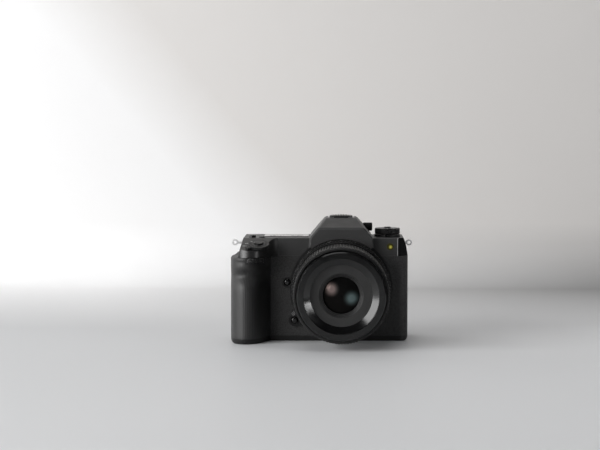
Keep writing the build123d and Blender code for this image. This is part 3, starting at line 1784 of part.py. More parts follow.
def save(name, solids):
    shape = Compound(children=list(solids)) if isinstance(solids, list) else solids
    export_step(shape, f"parts/{name}.step")


def build():
    rubber = make_grip_rubber()
    covering = make_covering()
    platform = make_platform()
    front_cover = make_front_cover(rubber[0], covering)
    pieces = {
        "front_cover": front_cover,
        "rear_cover": make_rear_cover(),
        "top_cover": make_top_cover(platform_form()),
        "bottom_plate": make_bottom_plate(),
        "shutter_platform": platform,
        "front_covering": covering,
        "grip_rubber": rubber,
        "mount_ring": make_mount_ring(),
        "screws": make_screws(),
        "shutter_unit": make_shutter(),
        "sensor_unit": make_sensor(),
        "main_board": make_board(),
        "port_sockets": make_sockets(),
        "battery": make_battery(),
        "memory_cards": make_cards(),
        "card_slots": make_card_slots(),
        "strap_lugs": make_strap_lugs(),
        "tripod_socket": make_tripod_socket(),
        "hot_shoe": make_shoe(),
        "viewfinder_unit": make_finder(),
        "eyepiece_glass": make_eyepiece_glass(),
        "eyecup": make_eyecup(),
        "sub_display": make_sub_display(),
        "af_lamp": make_lamp(),
        "lens_mount": make_lens_mount(),
        "lens_barrel": make_lens_barrel(),
        "front_ring": make_front_ring(),
        "front_baffle": baffle_form(),
        "lens_elements": make_lens_glass(),
        "iris_unit": make_iris(),
        "aperture_ring": make_aperture_ring(),
        "focus_ring": make_focus_ring(),
        "shutter_button": make_release_button(),
        "power_lever": make_power_lever(),
        "front_dial": make_front_dial(),
        "rear_dial": make_rear_dial(),
        "mode_dial": make_mode_dial(),
        "mode_dial_lock": make_mode_lock(),
        "mode_lever": make_mode_lever(),
        "diopter_knob": make_diopter(),
        "function_button": function_frame() * button_cap(
            function_radius, button_proud, button_sink, domed=True
        ),
        "lens_release_button": lens_release_frame() * button_cap(
            lens_release_radius, lens_release_proud, lens_release_sink, travel=lens_release_travel, domed=True
        ),
        "lock_pin": make_lock_pin(),
        "shoe_cover": make_shoe_cover(),
        "card_door": make_side_door(-1, card_door_low, card_door_high),
        "port_door": make_side_door(1, port_door_low, port_door_high),
        "battery_door": make_battery_door(),
        "battery_latch": make_latch(),
        "screen_side_frame": make_screen_side_frame(),
        "screen_arm": make_screen_arm(),
        "screen_panel": make_screen(),
        "screen_glass": make_screen_glass(),
        "joystick_gimbal": make_gimbal(),
        "joystick": make_joystick(),
        "left_top_button": top_frame(top_button_left_x, top_button_y) * button_cap(
            top_button_radius, button_proud * 2, button_sink
        ),
        "right_top_button": top_frame(top_button_right_x, top_button_y) * button_cap(
            small_button_radius, button_proud, button_sink
        ),
        "focus_on_button": rear_frame(focus_on_x, focus_on_z) * button_cap(
            rear_button_radius, button_proud, button_sink
        ),
        "play_button": rear_frame(play_x, play_z) * button_cap(rear_button_radius, button_proud, button_sink),
        "menu_button": rear_frame(menu_x, menu_z) * button_cap(menu_button_radius, button_proud, button_sink),
        "quick_button": rear_frame(quick_x, quick_z) * button_cap(rear_button_radius, button_proud, button_sink),
    }
    for name, solids in pieces.items():
        save(name, solids)
        print(name)


build()
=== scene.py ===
import bpy
import json
from math import cos, pi, radians, sin
from mathutils import Matrix, Vector


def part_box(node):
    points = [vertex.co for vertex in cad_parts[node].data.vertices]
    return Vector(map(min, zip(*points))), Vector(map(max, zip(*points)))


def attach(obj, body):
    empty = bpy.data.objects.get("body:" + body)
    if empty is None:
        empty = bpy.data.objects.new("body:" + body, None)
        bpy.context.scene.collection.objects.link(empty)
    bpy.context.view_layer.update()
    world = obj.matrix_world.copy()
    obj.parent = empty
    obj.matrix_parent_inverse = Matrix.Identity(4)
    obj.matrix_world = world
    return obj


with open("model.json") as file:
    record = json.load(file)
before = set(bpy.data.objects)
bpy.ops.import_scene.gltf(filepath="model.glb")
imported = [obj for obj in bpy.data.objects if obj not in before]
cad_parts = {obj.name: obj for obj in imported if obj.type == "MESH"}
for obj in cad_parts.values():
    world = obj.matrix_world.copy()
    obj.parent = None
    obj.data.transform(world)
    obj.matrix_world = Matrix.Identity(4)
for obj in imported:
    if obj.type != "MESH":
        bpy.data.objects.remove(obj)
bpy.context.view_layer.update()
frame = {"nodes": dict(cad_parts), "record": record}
nodes = frame["nodes"]
MM = 0.001

# The photograph's view
CAMERA_PLACE = Vector((-6 * MM, -1524 * MM, 195 * MM))
CAMERA_AIM = Vector((-35 * MM, -24 * MM, 99.0 * MM))
CAMERA_LENS_MM, SENSOR_WIDTH_MM = 106.0, 36.0
CAMERA_CLIP = 50 * MM

# Places on the body
LENS_Z = 45.3 * MM
DECK_Z, REAR_Y, BOSS_FRONT = 88.0 * MM, 24.0 * MM, -26.5 * MM
GRIP_MIDDLE_X, GRIP_MIDDLE_Y, GRIP_TURN_RADIUS = -76 * MM, -28 * MM, 18 * MM
PLATFORM_SLOPE = radians(19.29)
RELEASE_PLACE = Vector((-69.3, -42.0, 81.7)) * MM
LEVER_TOP = 3.0 * MM

# The painted shade of the cut corner facet lies where X less Y is larger than its reach, with a painted
# highlight line beside it
SHADED_FACET_REACH, HIGHLIGHT_LINE_WIDTH = 72.35 * MM, 0.55 * MM
PAINTED_HIGHLIGHT_TONE, PAINTED_SHADE_TONE, FACET_EXTRA_GLOSS = 0.32, 0.003, 0.26

# The two painted reflections in the front glass: middle and radius
PAINTED_REFLECTIONS = ((Vector((-8.0, -85.5, 50.5)) * MM, 7.5 * MM), (Vector((8.5, -85.5, 43.0)) * MM, 8.0 * MM))
REFLECTION_CORE_SHARE, REFLECTION_FALL = 0.3, 2.2

# Shared values of the materials
NOISE_LOW, NOISE_HIGH = 0.3, 0.7
NOISE_ROUGHNESS, CELL_SMOOTHNESS = 0.55, 0.35
BEVEL_SAMPLES = 4
PAINT_PATCH, METAL_PATCH, MOULD_PATCH, DISPLAY_PATCH, DUST_PATCH = 14 * MM, 9 * MM, 11 * MM, 8 * MM, 1.5 * MM
TURNING_LINE, TURNING_DEPTH, TURNED_EDGE = 0.12 * MM, 0.012 * MM, 0.2 * MM


# Small helpers for material nodes
def add(tree, kind, inputs=None, **settings):
    node = tree.nodes.new(kind)
    for key, value in settings.items():
        setattr(node, key, value)
    set_inputs(tree, node, inputs or {})
    return node


def set_inputs(tree, node, values):
    for key, value in values.items():
        if isinstance(value, bpy.types.NodeSocket):
            tree.links.new(value, node.inputs[key])
        else:
            node.inputs[key].default_value = value


def new_material(name):
    material = bpy.data.materials.new(name)
    material.use_nodes = True
    tree = material.node_tree
    return material, tree, tree.nodes["Principled BSDF"]


def calc(tree, operation, first, second, clamp=False):
    node = add(tree, "ShaderNodeMath", {0: first, 1: second}, operation=operation, use_clamp=clamp)
    return node.outputs[0]


def spread(tree, value, low, high, to_low, to_high):
    node = add(tree, "ShaderNodeMapRange", {
        "Value": value, "From Min": low, "From Max": high, "To Min": to_low, "To Max": to_high,
    })
    return node.outputs["Result"]


def mottled(tree, cloud, to_low, to_high):
    """Spreads the middle of a noise's range over the given values."""
    return spread(tree, cloud, NOISE_LOW, NOISE_HIGH, to_low, to_high)


def colour(level, warmth=0.0):
    return (level * (1 + warmth), level, level * (1 - warmth), 1.0)


def mix_colour(tree, share, first, second):
    node = add(tree, "ShaderNodeMix", {"Factor": share, "A": first, "B": second}, data_type="RGBA")
    return node.outputs["Result"]


def two_tone(tree, share, base, low, high):
    """A grey that goes from low to high times its base level."""
    return mix_colour(tree, share, colour(base * low), colour(base * high))


def object_place(tree):
    return add(tree, "ShaderNodeTexCoord").outputs["Object"]


def axes(tree, place):
    return add(tree, "ShaderNodeSeparateXYZ", {0: place}).outputs


def distance(tree, place, middle):
    return add(tree, "ShaderNodeVectorMath", {0: place, 1: middle}, operation="DISTANCE").outputs["Value"]


def noise(tree, place, size, detail=3.0):
    node = add(tree, "ShaderNodeTexNoise", {
        "Vector": place, "Scale": 1 / size, "Detail": detail, "Roughness": NOISE_ROUGHNESS,
    })
    return node.outputs["Fac"]


def cells(tree, place, size):
    node = add(tree, "ShaderNodeTexVoronoi", {
        "Vector": place, "Scale": 1 / size, "Smoothness": CELL_SMOOTHNESS,
    }, feature="SMOOTH_F1")
    return node.outputs["Distance"]


def rounded_normal(tree, radius):
    return add(tree, "ShaderNodeBevel", {"Radius": radius}, samples=BEVEL_SAMPLES).outputs["Normal"]


def edge_share(tree, radius):
    """Nearly 1 along sharp edges and 0 on flat faces."""
    rounded = rounded_normal(tree, radius)
    plain = add(tree, "ShaderNodeNewGeometry").outputs["Normal"]
    product = add(tree, "ShaderNodeVectorMath", {0: rounded, 1: plain}, operation="DOT_PRODUCT")
    return spread(tree, product.outputs["Value"], 0.995, 0.90, 0.0, 1.0)


def raise_surface(tree, height, depth, normal=None):
    inputs = {"Height": height, "Distance": depth}
    if normal:
        inputs["Normal"] = normal
    return add(tree, "ShaderNodeBump", inputs).outputs["Normal"]


# Kinds of material
def textured_paint(name, base, wear_and_highlight, rough, grain_size, grain_depth, edge=0.35 * MM):
    """Paint with a fine crackle, a little unevenness in its gloss and lighter edges: partly rubbed wear,
    partly a painted highlight.
    """
    material, tree, shader = new_material(name)
    place = object_place(tree)
    fine = noise(tree, place, grain_size, detail=4.0)
    broad = noise(tree, place, PAINT_PATCH)
    # Lighter edges: partly rubbed wear, partly a painted highlight along the edges
    rubbed_and_highlit = calc(tree, "MULTIPLY", edge_share(tree, edge), spread(tree, broad, 0.35, 0.65, 0.2, 0.8))
    tone = two_tone(tree, mottled(tree, fine, 0.0, 1.0), base, 0.82, 1.18)
    set_inputs(tree, shader, {
        "Base Color": mix_colour(tree, rubbed_and_highlit, tone, colour(wear_and_highlight)),
        "Roughness": mottled(tree, broad, rough - 0.04, rough + 0.05),
        "Specular IOR Level": 0.35,
        "Normal": raise_surface(tree, fine, grain_depth, rounded_normal(tree, edge)),
    })
    return material


def deck_paint(name, base, wear_and_highlight):
    """Satin paint on the deck; its cut corner facet is painted dark and glossy as painted shade, with a
    painted highlight line beside it.
    """
    material = textured_paint(name, base, wear_and_highlight, rough=0.42, grain_size=0.16 * MM, grain_depth=0.015 * MM,
                              edge=0.45 * MM)
    tree = material.node_tree
    shader = tree.nodes["Principled BSDF"]
    place = axes(tree, object_place(tree))
    reach = calc(tree, "SUBTRACT", place["X"], place["Y"])
    # Painted shade on the cut corner facet, and a painted highlight line beside it
    shaded_facet = calc(tree, "GREATER_THAN", reach, SHADED_FACET_REACH)
    facet_and_highlight = calc(tree, "GREATER_THAN", reach, SHADED_FACET_REACH - HIGHLIGHT_LINE_WIDTH)
    painted = shader.inputs["Base Color"].links[0].from_socket
    gloss = shader.inputs["Roughness"].links[0].from_socket
    highlighted = mix_colour(tree, facet_and_highlight, painted, colour(PAINTED_HIGHLIGHT_TONE))
    set_inputs(tree, shader, {
        "Base Color": mix_colour(tree, shaded_facet, highlighted, colour(PAINTED_SHADE_TONE)),
        "Specular IOR Level": spread(tree, shaded_facet, 0.0, 1.0, 0.35, 0.15),
        "Roughness": calc(tree, "SUBTRACT", gloss, calc(tree, "MULTIPLY", facet_and_highlight, FACET_EXTRA_GLOSS)),
    })
    return material


def leather(name, base, rough, cell, depth):
    """Pebbled covering: rounded grains of uneven size with creases between them; the creases are painted
    darker and the grain tops lighter, as painted shade.
    """
    material, tree, shader = new_material(name)
    place = object_place(tree)
    warp = add(tree, "ShaderNodeTexNoise", {"Vector": place, "Scale": 1 / (3 * cell)}).outputs["Color"]
    shift = add(tree, "ShaderNodeVectorMath", {0: warp, "Scale": 1.6 * cell}, operation="SCALE")
    moved = add(tree, "ShaderNodeVectorMath", {0: place, 1: shift.outputs["Vector"]}, operation="ADD")
    grain = cells(tree, moved.outputs["Vector"], cell)
    fine = noise(tree, place, cell / 5)
    height = calc(tree, "SUBTRACT", calc(tree, "MULTIPLY", fine, 0.18), grain)
    set_inputs(tree, shader, {
        # Painted shade: darker in the creases, lighter on the grain tops
        "Base Color": two_tone(tree, spread(tree, grain, 0.25, 0.75, 0.0, 1.0), base, 1.15, 0.55),
        "Roughness": spread(tree, grain, 0.2, 0.8, rough - 0.05, rough + 0.12),
        "Specular IOR Level": 0.3,
        "Normal": raise_surface(tree, height, depth),
    })
    return material


def ribbed_rubber(name, base, rough, pitch, depth):
    """Grip rubber: fine upright ribs round the grip over a faint grain; the grooves are painted darker and the
    crests lighter, as painted shade.
    """
    material, tree, shader = new_material(name)
    place = object_place(tree)
    parts = axes(tree, place)
    round_x = calc(tree, "SUBTRACT", parts["X"], GRIP_MIDDLE_X)
    round_y = calc(tree, "SUBTRACT", parts["Y"], GRIP_MIDDLE_Y)
    turn = calc(tree, "MULTIPLY", calc(tree, "ARCTAN2", round_y, round_x), GRIP_TURN_RADIUS * 2 * pi / pitch)
    ribs = spread(tree, calc(tree, "SINE", turn, 0.0), -1.0, 1.0, 0.0, 1.0)
    fine = noise(tree, place, 0.35 * MM)
    height = calc(tree, "ADD", ribs, calc(tree, "MULTIPLY", fine, 0.6))
    set_inputs(tree, shader, {
        # Painted shade: darker in the grooves, lighter on the rib crests
        "Base Color": two_tone(tree, ribs, base, 0.7, 1.2),
        "Roughness": mottled(tree, fine, rough - 0.04, rough + 0.08),
        "Specular IOR Level": 0.5,
        "Normal": raise_surface(tree, height, depth),
    })
    return material


def turned_metal(name, base, rough, round_lens=True, metallic=0.0):
    """Anodised or bare metal with fine turning marks, round the lens axis or along Z."""
    material, tree, shader = new_material(name)
    place = object_place(tree)
    parts = axes(tree, place)
    if round_lens:
        drop = calc(tree, "SUBTRACT", parts["Z"], LENS_Z)
        squares = calc(tree, "ADD", calc(tree, "POWER", parts["X"], 2.0), calc(tree, "POWER", drop, 2.0))
        along = calc(tree, "ADD", calc(tree, "SQRT", squares, 0.0), parts["Y"])
    else:
        along = parts["Z"]
    marks = add(tree, "ShaderNodeTexNoise", {"W": along, "Scale": 1 / TURNING_LINE, "Detail": 2.0},
                noise_dimensions="1D").outputs["Fac"]
    broad = noise(tree, place, METAL_PATCH)
    set_inputs(tree, shader, {
        "Base Color": two_tone(tree, mottled(tree, marks, 0.0, 1.0), base, 0.85, 1.15),
        "Metallic": metallic,
        "Roughness": mottled(tree, broad, rough - 0.04, rough + 0.06),
        "Normal": raise_surface(tree, marks, TURNING_DEPTH, rounded_normal(tree, TURNED_EDGE)),
    })
    return material


def moulded(name, base, rough, grain_size, grain_depth, edge=0.25 * MM, specular=0.4):
    """Moulded plastic or rubber with a fine spark-eroded texture and slight handling polish."""
    material, tree, shader = new_material(name)
    place = object_place(tree)
    fine = noise(tree, place, grain_size)
    broad = noise(tree, place, MOULD_PATCH)
    set_inputs(tree, shader, {
        "Base Color": two_tone(tree, spread(tree, broad, 0.35, 0.65, 0.0, 1.0), base, 0.9, 1.12),
        "Roughness": mottled(tree, broad, rough - 0.05, rough + 0.06),
        "Specular IOR Level": specular,
        "Normal": raise_surface(tree, fine, grain_depth, rounded_normal(tree, edge)),
    })
    return material


def printed(name, base):
    return moulded(name, base, rough=0.5, grain_size=0.1 * MM, grain_depth=0.004 * MM, edge=0.02 * MM)


def clear_glass(name, tint, film):
    """Coated optical glass; the coating's thickness in nanometres sets the colour of its reflections."""
    material, tree, shader = new_material(name)
    dust = noise(tree, object_place(tree), DUST_PATCH)
    set_inputs(tree, shader, {
        "Base Color": tint,
        "Roughness": spread(tree, dust, 0.3, 0.8, 0.0, 0.02),
        "Transmission Weight": 1.0,
        "IOR": 1.55,
        "Thin Film Thickness": film,
        "Thin Film IOR": 1.38,
    })
    return material


def glass_with_painted_reflections(name, base):
    """The deep front element: nearly black, with two painted reflections in its colour and specular tint, rosy
    at the left and sea green at the right.
    """
    material, tree, shader = new_material(name)
    place = object_place(tree)
    across = spread(tree, axes(tree, place)["X"], -6.0 * MM, 3.0 * MM, 0.0, 1.0)
    # Two painted reflections, rosy at the left and sea green at the right
    reflection_shares = []
    for middle, radius in PAINTED_REFLECTIONS:
        share = spread(tree, distance(tree, place, middle), radius * REFLECTION_CORE_SHARE, radius, 1.0, 0.0)
        reflection_shares.append(calc(tree, "POWER", share, REFLECTION_FALL))
    painted_reflection = calc(tree, "ADD", reflection_shares[0], reflection_shares[1], clamp=True)
    tint = mix_colour(tree, across, (1.0, 0.80, 0.76, 1), (0.55, 0.76, 0.78, 1))
    reflection_colour = mix_colour(tree, across, (0.22, 0.17, 0.16, 1), (0.085, 0.115, 0.115, 1))
    dust = noise(tree, place, DUST_PATCH)
    set_inputs(tree, shader, {
        "Base Color": mix_colour(tree, painted_reflection, colour(base), reflection_colour),
        "Roughness": spread(tree, dust, 0.3, 0.8, 0.16, 0.22),
        "Specular IOR Level": 1.0,
        "Specular Tint": mix_colour(tree, painted_reflection, (0.02, 0.015, 0.01, 1), tint),
        "Transmission Weight": 0.15,
    })
    return material


def dark_display(name):
    material, tree, shader = new_material(name)
    smear = noise(tree, object_place(tree), DISPLAY_PATCH, detail=2.0)
    set_inputs(tree, shader, {
        "Base Color": mix_colour(tree, smear, (0.006, 0.006, 0.008, 1), (0.010, 0.010, 0.012, 1)),
        "Roughness": mottled(tree, smear, 0.04, 0.12),
        "Coat Weight": 0.6,
        "Coat Roughness": 0.03,
    })
    return material


def lamp_lens_with_painted_glow(name):
    """A yellow-green moulded lens whose brighter, emitting middle is a painted glow."""
    material, tree, shader = new_material(name)
    place = object_place(tree)
    low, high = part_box("af_lamp")
    away = distance(tree, place, (low + high) / 2 + Vector((0.4, 0, -0.3)) * MM)
    outer = spread(tree, away, 1.0 * MM, 2.3 * MM, 0.0, 1.0)
    # Painted glow: the middle is lighter and emits light
    set_inputs(tree, shader, {
        "Base Color": mix_colour(tree, outer, (0.80, 0.72, 0.10, 1), (0.045, 0.042, 0.008, 1)),
        "Emission Color": (0.9, 0.8, 0.15, 1),
        "Emission Strength": spread(tree, away, 0.7 * MM, 1.6 * MM, 1.6, 0.0),
        "Roughness": mottled(tree, noise(tree, place, 0.6 * MM), 0.12, 0.22),
        "Coat Weight": 0.5,
    })
    return material


MATERIALS = {
    "body_paint": textured_paint("body_paint", base=0.006, wear_and_highlight=0.05, rough=0.44, grain_size=0.22 * MM,
                                 grain_depth=0.03 * MM),
    "top_paint": deck_paint("top_paint", base=0.035, wear_and_highlight=0.16),
    "platform_plastic": moulded("platform_plastic", base=0.007, rough=0.38, grain_size=0.2 * MM,
                                grain_depth=0.002 * MM, edge=0.5 * MM, specular=0.7),
    "covering": leather("covering", base=0.039, rough=0.52, cell=0.85 * MM, depth=0.16 * MM),
    "rubber": ribbed_rubber("rubber", base=0.023, rough=0.46, pitch=1.1 * MM, depth=0.08 * MM),
    "pad_rubber": moulded("pad_rubber", base=0.020, rough=0.5, grain_size=0.4 * MM, grain_depth=0.03 * MM),
    "ring_rubber": textured_paint("ring_rubber", base=0.009, wear_and_highlight=0.12, rough=0.44, grain_size=0.2 * MM,
                                  grain_depth=0.01 * MM, edge=0.15 * MM),
    "bright_metal": turned_metal("bright_metal", base=0.80, rough=0.22, metallic=1.0),
    "steel": turned_metal("steel", base=0.55, rough=0.32, metallic=1.0),
    "black_metal": turned_metal("black_metal", base=0.007, rough=0.28),
    "black_plastic": moulded("black_plastic", base=0.009, rough=0.42, grain_size=0.18 * MM,
                             grain_depth=0.01 * MM),
    "gloss_black": moulded("gloss_black", base=0.003, rough=0.14, grain_size=0.3 * MM, grain_depth=0.001 * MM,
                           edge=0.2 * MM, specular=0.5),
    "baffle_black": moulded("baffle_black", base=0.022, rough=0.60, grain_size=0.15 * MM,
                            grain_depth=0.012 * MM),
    "board": moulded("board", base=0.05, rough=0.4, grain_size=0.3 * MM, grain_depth=0.005 * MM),
    "sensor": dark_display("sensor"),
    "battery_plastic": moulded("battery_plastic", base=0.05, rough=0.5, grain_size=0.2 * MM,
                               grain_depth=0.01 * MM),
    "card_plastic": moulded("card_plastic", base=0.05, rough=0.45, grain_size=0.2 * MM, grain_depth=0.01 * MM),
    "socket_metal": turned_metal("socket_metal", base=0.6, rough=0.3, round_lens=False, metallic=1.0),
    "glass": glass_with_painted_reflections("glass", base=0.006),
    "eyepiece": clear_glass("eyepiece", tint=(0.3, 0.3, 0.34, 1), film=240.0),
    "display": dark_display("display"),
    "lamp": lamp_lens_with_painted_glow("lamp"),
    "white_ink": printed("white_ink", base=0.62),
    "lug_metal": turned_metal("lug_metal", base=0.85, rough=0.42, metallic=0.6),
    "grey_ink_and_highlight": printed("grey_ink_and_highlight", base=0.22),
    "painted_hole_shade": moulded("painted_hole_shade", base=0.003, rough=0.7, grain_size=0.1 * MM, grain_depth=0.004 * MM,
                         edge=0.02 * MM),
    "warm_metal": turned_metal("warm_metal", base=0.10, rough=0.35, metallic=1.0),
    "contact_gold": turned_metal("contact_gold", base=0.6, rough=0.3, round_lens=False, metallic=1.0),
}
OWN_MATERIAL = {"focus_ring": "ring_rubber", "eyecup": "pad_rubber", "port_door": "pad_rubber",
                "joystick": "pad_rubber", "strap_lugs": "lug_metal"}


def dress_cad():
    """Gives every CAD node its finish; a node keeps the slot that the record names unless listed above."""
    slots = {row["node"]: row["material_slot"] for row in frame["record"]["subparts"]}
    for name, piece in nodes.items():
        piece.data.materials.clear()
        piece.data.materials.append(MATERIALS[OWN_MATERIAL.get(name, slots[name])])


# Printed characters and small fittings
CAPITAL_SHARE = 0.70
INK_THICKNESS = 0.04 * MM
RING_STEPS = 144


def link(piece, body):
    bpy.context.scene.collection.objects.link(piece)
    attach(piece, body)


def mesh_piece(name, vertices, faces, finish, body, smooth=False):
    mesh = bpy.data.meshes.new(name)
    mesh.from_pydata(vertices, [], faces)
    if smooth:
        mesh.shade_smooth()
    mesh.materials.append(MATERIALS[finish])
    link(bpy.data.objects.new(name, mesh), body)


def lettering(name, characters, place, across, out, height, body, finish="white_ink"):
    """Printed characters: across is their reading direction and out points away from the surface."""
    curve = bpy.data.curves.new(name, "FONT")
    curve.body = characters
    curve.size = height / CAPITAL_SHARE
    curve.align_x = "CENTER"
    curve.align_y = "CENTER"
    curve.extrude = INK_THICKNESS / 2
    curve.resolution_u = 4
    curve.materials.append(MATERIALS[finish])
    across, out = Vector(across).normalized(), Vector(out).normalized()
    turn = Matrix((across, out.cross(across), out)).transposed().to_4x4()
    piece = bpy.data.objects.new(name, curve)
    piece.matrix_world = Matrix.Translation(Vector(place) + out * INK_THICKNESS / 2) @ turn
    link(piece, body)


def plate(name, points, thickness, body, finish):
    """A thin plate from the corners of its lower face, raised along that face's normal."""
    corners = [Vector(p) for p in points]
    normal = (corners[1] - corners[0]).cross(corners[2] - corners[1]).normalized()
    count = len(corners)
    vertices = corners + [p + normal * thickness for p in corners]
    faces = [list(range(count))[::-1], list(range(count, 2 * count))]
    faces += [[i, (i + 1) % count, (i + 1) % count + count, i + count] for i in range(count)]
    mesh_piece(name, vertices, faces, finish, body)


def bar_corners(middle, along, side):
    """The corners of a rectangle from its middle and two half edges."""
    return [middle - along - side, middle + along - side, middle + along + side, middle - along + side]


def stroke(name, middle, along, out, length, width, body):
    """A short printed line."""
    along, out = Vector(along).normalized(), Vector(out).normalized()
    side = out.cross(along) * width / 2
    plate(name, bar_corners(Vector(middle), along * length / 2, side), INK_THICKNESS, body, "white_ink")


def dot(name, middle, out, radius, finish, thickness=INK_THICKNESS, steps=20):
    out = Vector(out).normalized()
    first = out.orthogonal().normalized()
    second = out.cross(first)
    middle = Vector(middle)
    turns = (2 * pi * i / steps for i in range(steps))
    corners = [middle + (first * cos(a) + second * sin(a)) * radius for a in turns]
    plate(name, corners, thickness, "root", finish)


def thin_ring(name, radius, y, thickness, finish, sides=8):
    """A round wire swept round the lens axis."""
    profile = [(radius + thickness * cos(a), y + thickness * sin(a))
               for a in (2 * pi * i / sides for i in range(sides))]
    vertices = []
    faces = []
    for i in range(RING_STEPS):
        a = 2 * pi * i / RING_STEPS
        vertices += [(r * cos(a), y, LENS_Z + r * sin(a)) for r, y in profile]
        here, after = i * sides, (i + 1) % RING_STEPS * sides
        for j in range(sides):
            k = (j + 1) % sides
            faces.append((here + j, here + k, after + k, after + j))
    mesh_piece(name, vertices, faces, finish, "root", smooth=True)


def on_lens(angle, radius, y):
    """A place on a round surface of the lens, with the directions along its rim and out of it."""
    a = radians(angle)
    out = Vector((cos(a), 0, sin(a)))
    return Vector((0, y, LENS_Z)) + out * radius, Vector((-sin(a), 0, cos(a))), out


# Lens: figures of the aperture ring, marks and thin rings
APERTURE_STOPS = ("A", "2.8", "4", "5.6", "8", "11", "16", "22", "32")
APERTURE_STEP = 13.5
APERTURE_LAND = 1.0 * MM
BAND_RADIUS, COLLAR_RADIUS = 40.8 * MM, 41.6 * MM
BAND_SETBACK, COLLAR_SETBACK = 2.2 * MM, 2.4 * MM
LENS_TOP_ANGLE, MOUNT_INDEX_ANGLE = 90, 132
FILTER_RADIUS, THREAD_START, THREAD_PITCH = 31.0 * MM, 0.9 * MM, 0.75 * MM
THREAD_TURNS, THREAD_CREST = 5, 0.16 * MM
BEZEL_RINGS = ((17.6 * MM, 0.9 * MM), (16.5 * MM, 2.3 * MM), (15.4 * MM, 3.8 * MM))
BEZEL_CREST = 0.14 * MM


def mark_lens():
    low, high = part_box("aperture_ring")
    radius, front = (high.x - low.x) / 2, low.y
    for step, stop in enumerate(APERTURE_STOPS):
        place, across, out = on_lens(LENS_TOP_ANGLE + APERTURE_STEP * step, radius, front + APERTURE_LAND)
        lettering(f"stop_{step}", stop, place, across, out, 1.4 * MM, "aperture_ring")
    place, across, out = on_lens(LENS_TOP_ANGLE, BAND_RADIUS, front - BAND_SETBACK)
    stroke("aperture_index", place, (0, 1, 0), out, length=2.6 * MM, width=0.4 * MM, body="root")
    place, across, out = on_lens(MOUNT_INDEX_ANGLE, COLLAR_RADIUS, high.y + COLLAR_SETBACK)
    dot("mount_index", place, out, 0.9 * MM, "white_ink", 0.15 * MM)


def add_lens_rings():
    """The filter thread's crests and the thin warm rings on the steps round the front element."""
    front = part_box("front_ring")[0].y + THREAD_START
    for turn in range(THREAD_TURNS):
        thin_ring(f"filter_thread_{turn}", FILTER_RADIUS, front + THREAD_PITCH * turn, THREAD_CREST,
                  "gloss_black")
    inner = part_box("front_baffle")[0].y
    for step, (radius, behind) in enumerate(BEZEL_RINGS):
        thin_ring(f"bezel_ring_{step}", radius, inner + behind, BEZEL_CREST, "warm_metal")


# Front of the body: the lip under the hump and the ridges over the lens release
LIP_ANGLES, LIP_DEPTH, LIP_STEPS = (53.5, 126.5), 3.5 * MM, 32
LIP_INNER, LIP_OUTER = 42.15 * MM, 44.1 * MM
RIDGE_ALONG, RIDGE_SIDE = Vector((0.7071, 0, 0.7071)), Vector((-0.7071, 0, 0.7071))
RIDGE_COUNT, RIDGE_THICKNESS = 3, 0.35 * MM
RIDGE_HALF_LENGTH, RIDGE_HALF_WIDTH = 1.6 * MM, 0.22 * MM
RIDGE_START, RIDGE_STEP = Vector((-0.4, 0, 4.6)) * MM, Vector((-0.55, 0, 0.95)) * MM


def add_hump_lip():
    """The lip under the hump that follows the lens closely, flush with the hump's front."""
    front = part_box("top_cover")[0].y
    back = front + LIP_DEPTH
    low, high = LIP_ANGLES
    vertices = []
    for i in range(LIP_STEPS + 1):
        a = radians(low + (high - low) * i / LIP_STEPS)
        for r, y in ((LIP_INNER, front), (LIP_OUTER, front), (LIP_OUTER, back), (LIP_INNER, back)):
            vertices.append((r * cos(a), y, LENS_Z + r * sin(a)))
    faces = [(4 * i + j, 4 * i + (j + 1) % 4, 4 * i + 4 + (j + 1) % 4, 4 * i + 4 + j)
             for i in range(LIP_STEPS) for j in range(4)]
    faces += [(0, 1, 2, 3), tuple(4 * LIP_STEPS + j for j in (3, 2, 1, 0))]
    mesh_piece("hump_lip", vertices, faces, "top_paint", "root")


def add_release_ridges():
    """Raised bars above the lens release for the thumb, painted light grey as a painted highlight."""
    low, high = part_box("lens_release_button")
    button = Vector(((low.x + high.x) / 2, BOSS_FRONT, (low.z + high.z) / 2))
    along, side = RIDGE_ALONG * RIDGE_HALF_LENGTH, RIDGE_SIDE * RIDGE_HALF_WIDTH
    for step in range(RIDGE_COUNT):
        corners = bar_corners(button + RIDGE_START + RIDGE_STEP * step, along, side)
        # The ridges are painted light grey as a painted highlight
        plate(f"release_ridge_{step}", corners, RIDGE_THICKNESS, "root", "grey_ink_and_highlight")


# Top of the body: mode dial, platform, deck display, microphones and shoe
UP = (0, 0, 1)
DIAL_MODES = ("M", "S", "A", "P", "C1", "C2", "C3", "C4")
DIAL_INDEX_ANGLE, DIAL_WORD_INSET, DIAL_INDEX_GAP = 135, 3.0 * MM, 2.6 * MM
OFF_ANGLE, ON_ANGLE = radians(145.0), radians(172.0)
POWER_WORD_RADIUS, LEVER_INDEX_RADIUS = 12.2 * MM, 7.7 * MM
DISPLAY_ROWS = (  # characters, place right and up of the middle, height
    ("F5.6", 9.0 * MM, -6.0 * MM, 4.2 * MM), ("1/125", -8.0 * MM, -6.0 * MM, 4.2 * MM),
    ("ISO 400", 9.0 * MM, 1.5 * MM, 2.6 * MM), ("± 0.0", -8.0 * MM, 1.5 * MM, 2.6 * MM),
    ("100 %", 0.0, 7.5 * MM, 2.2 * MM),
)
MICROPHONE_PLACES, MICROPHONE_HOLES = (("left", -30.5 * MM), ("right", 30.5 * MM)), 4
MICROPHONE_START, MICROPHONE_PITCH, MICROPHONE_RADIUS = -17.0 * MM, 1.6 * MM, 0.4 * MM
SHOE_FLOOR, CONTACT_RADIUS = 1.2 * MM, 0.9 * MM
CONTACT_SIDE, CONTACT_FRONT, CONTACT_REAR = 4 * MM, -4.5 * MM, 3.0 * MM


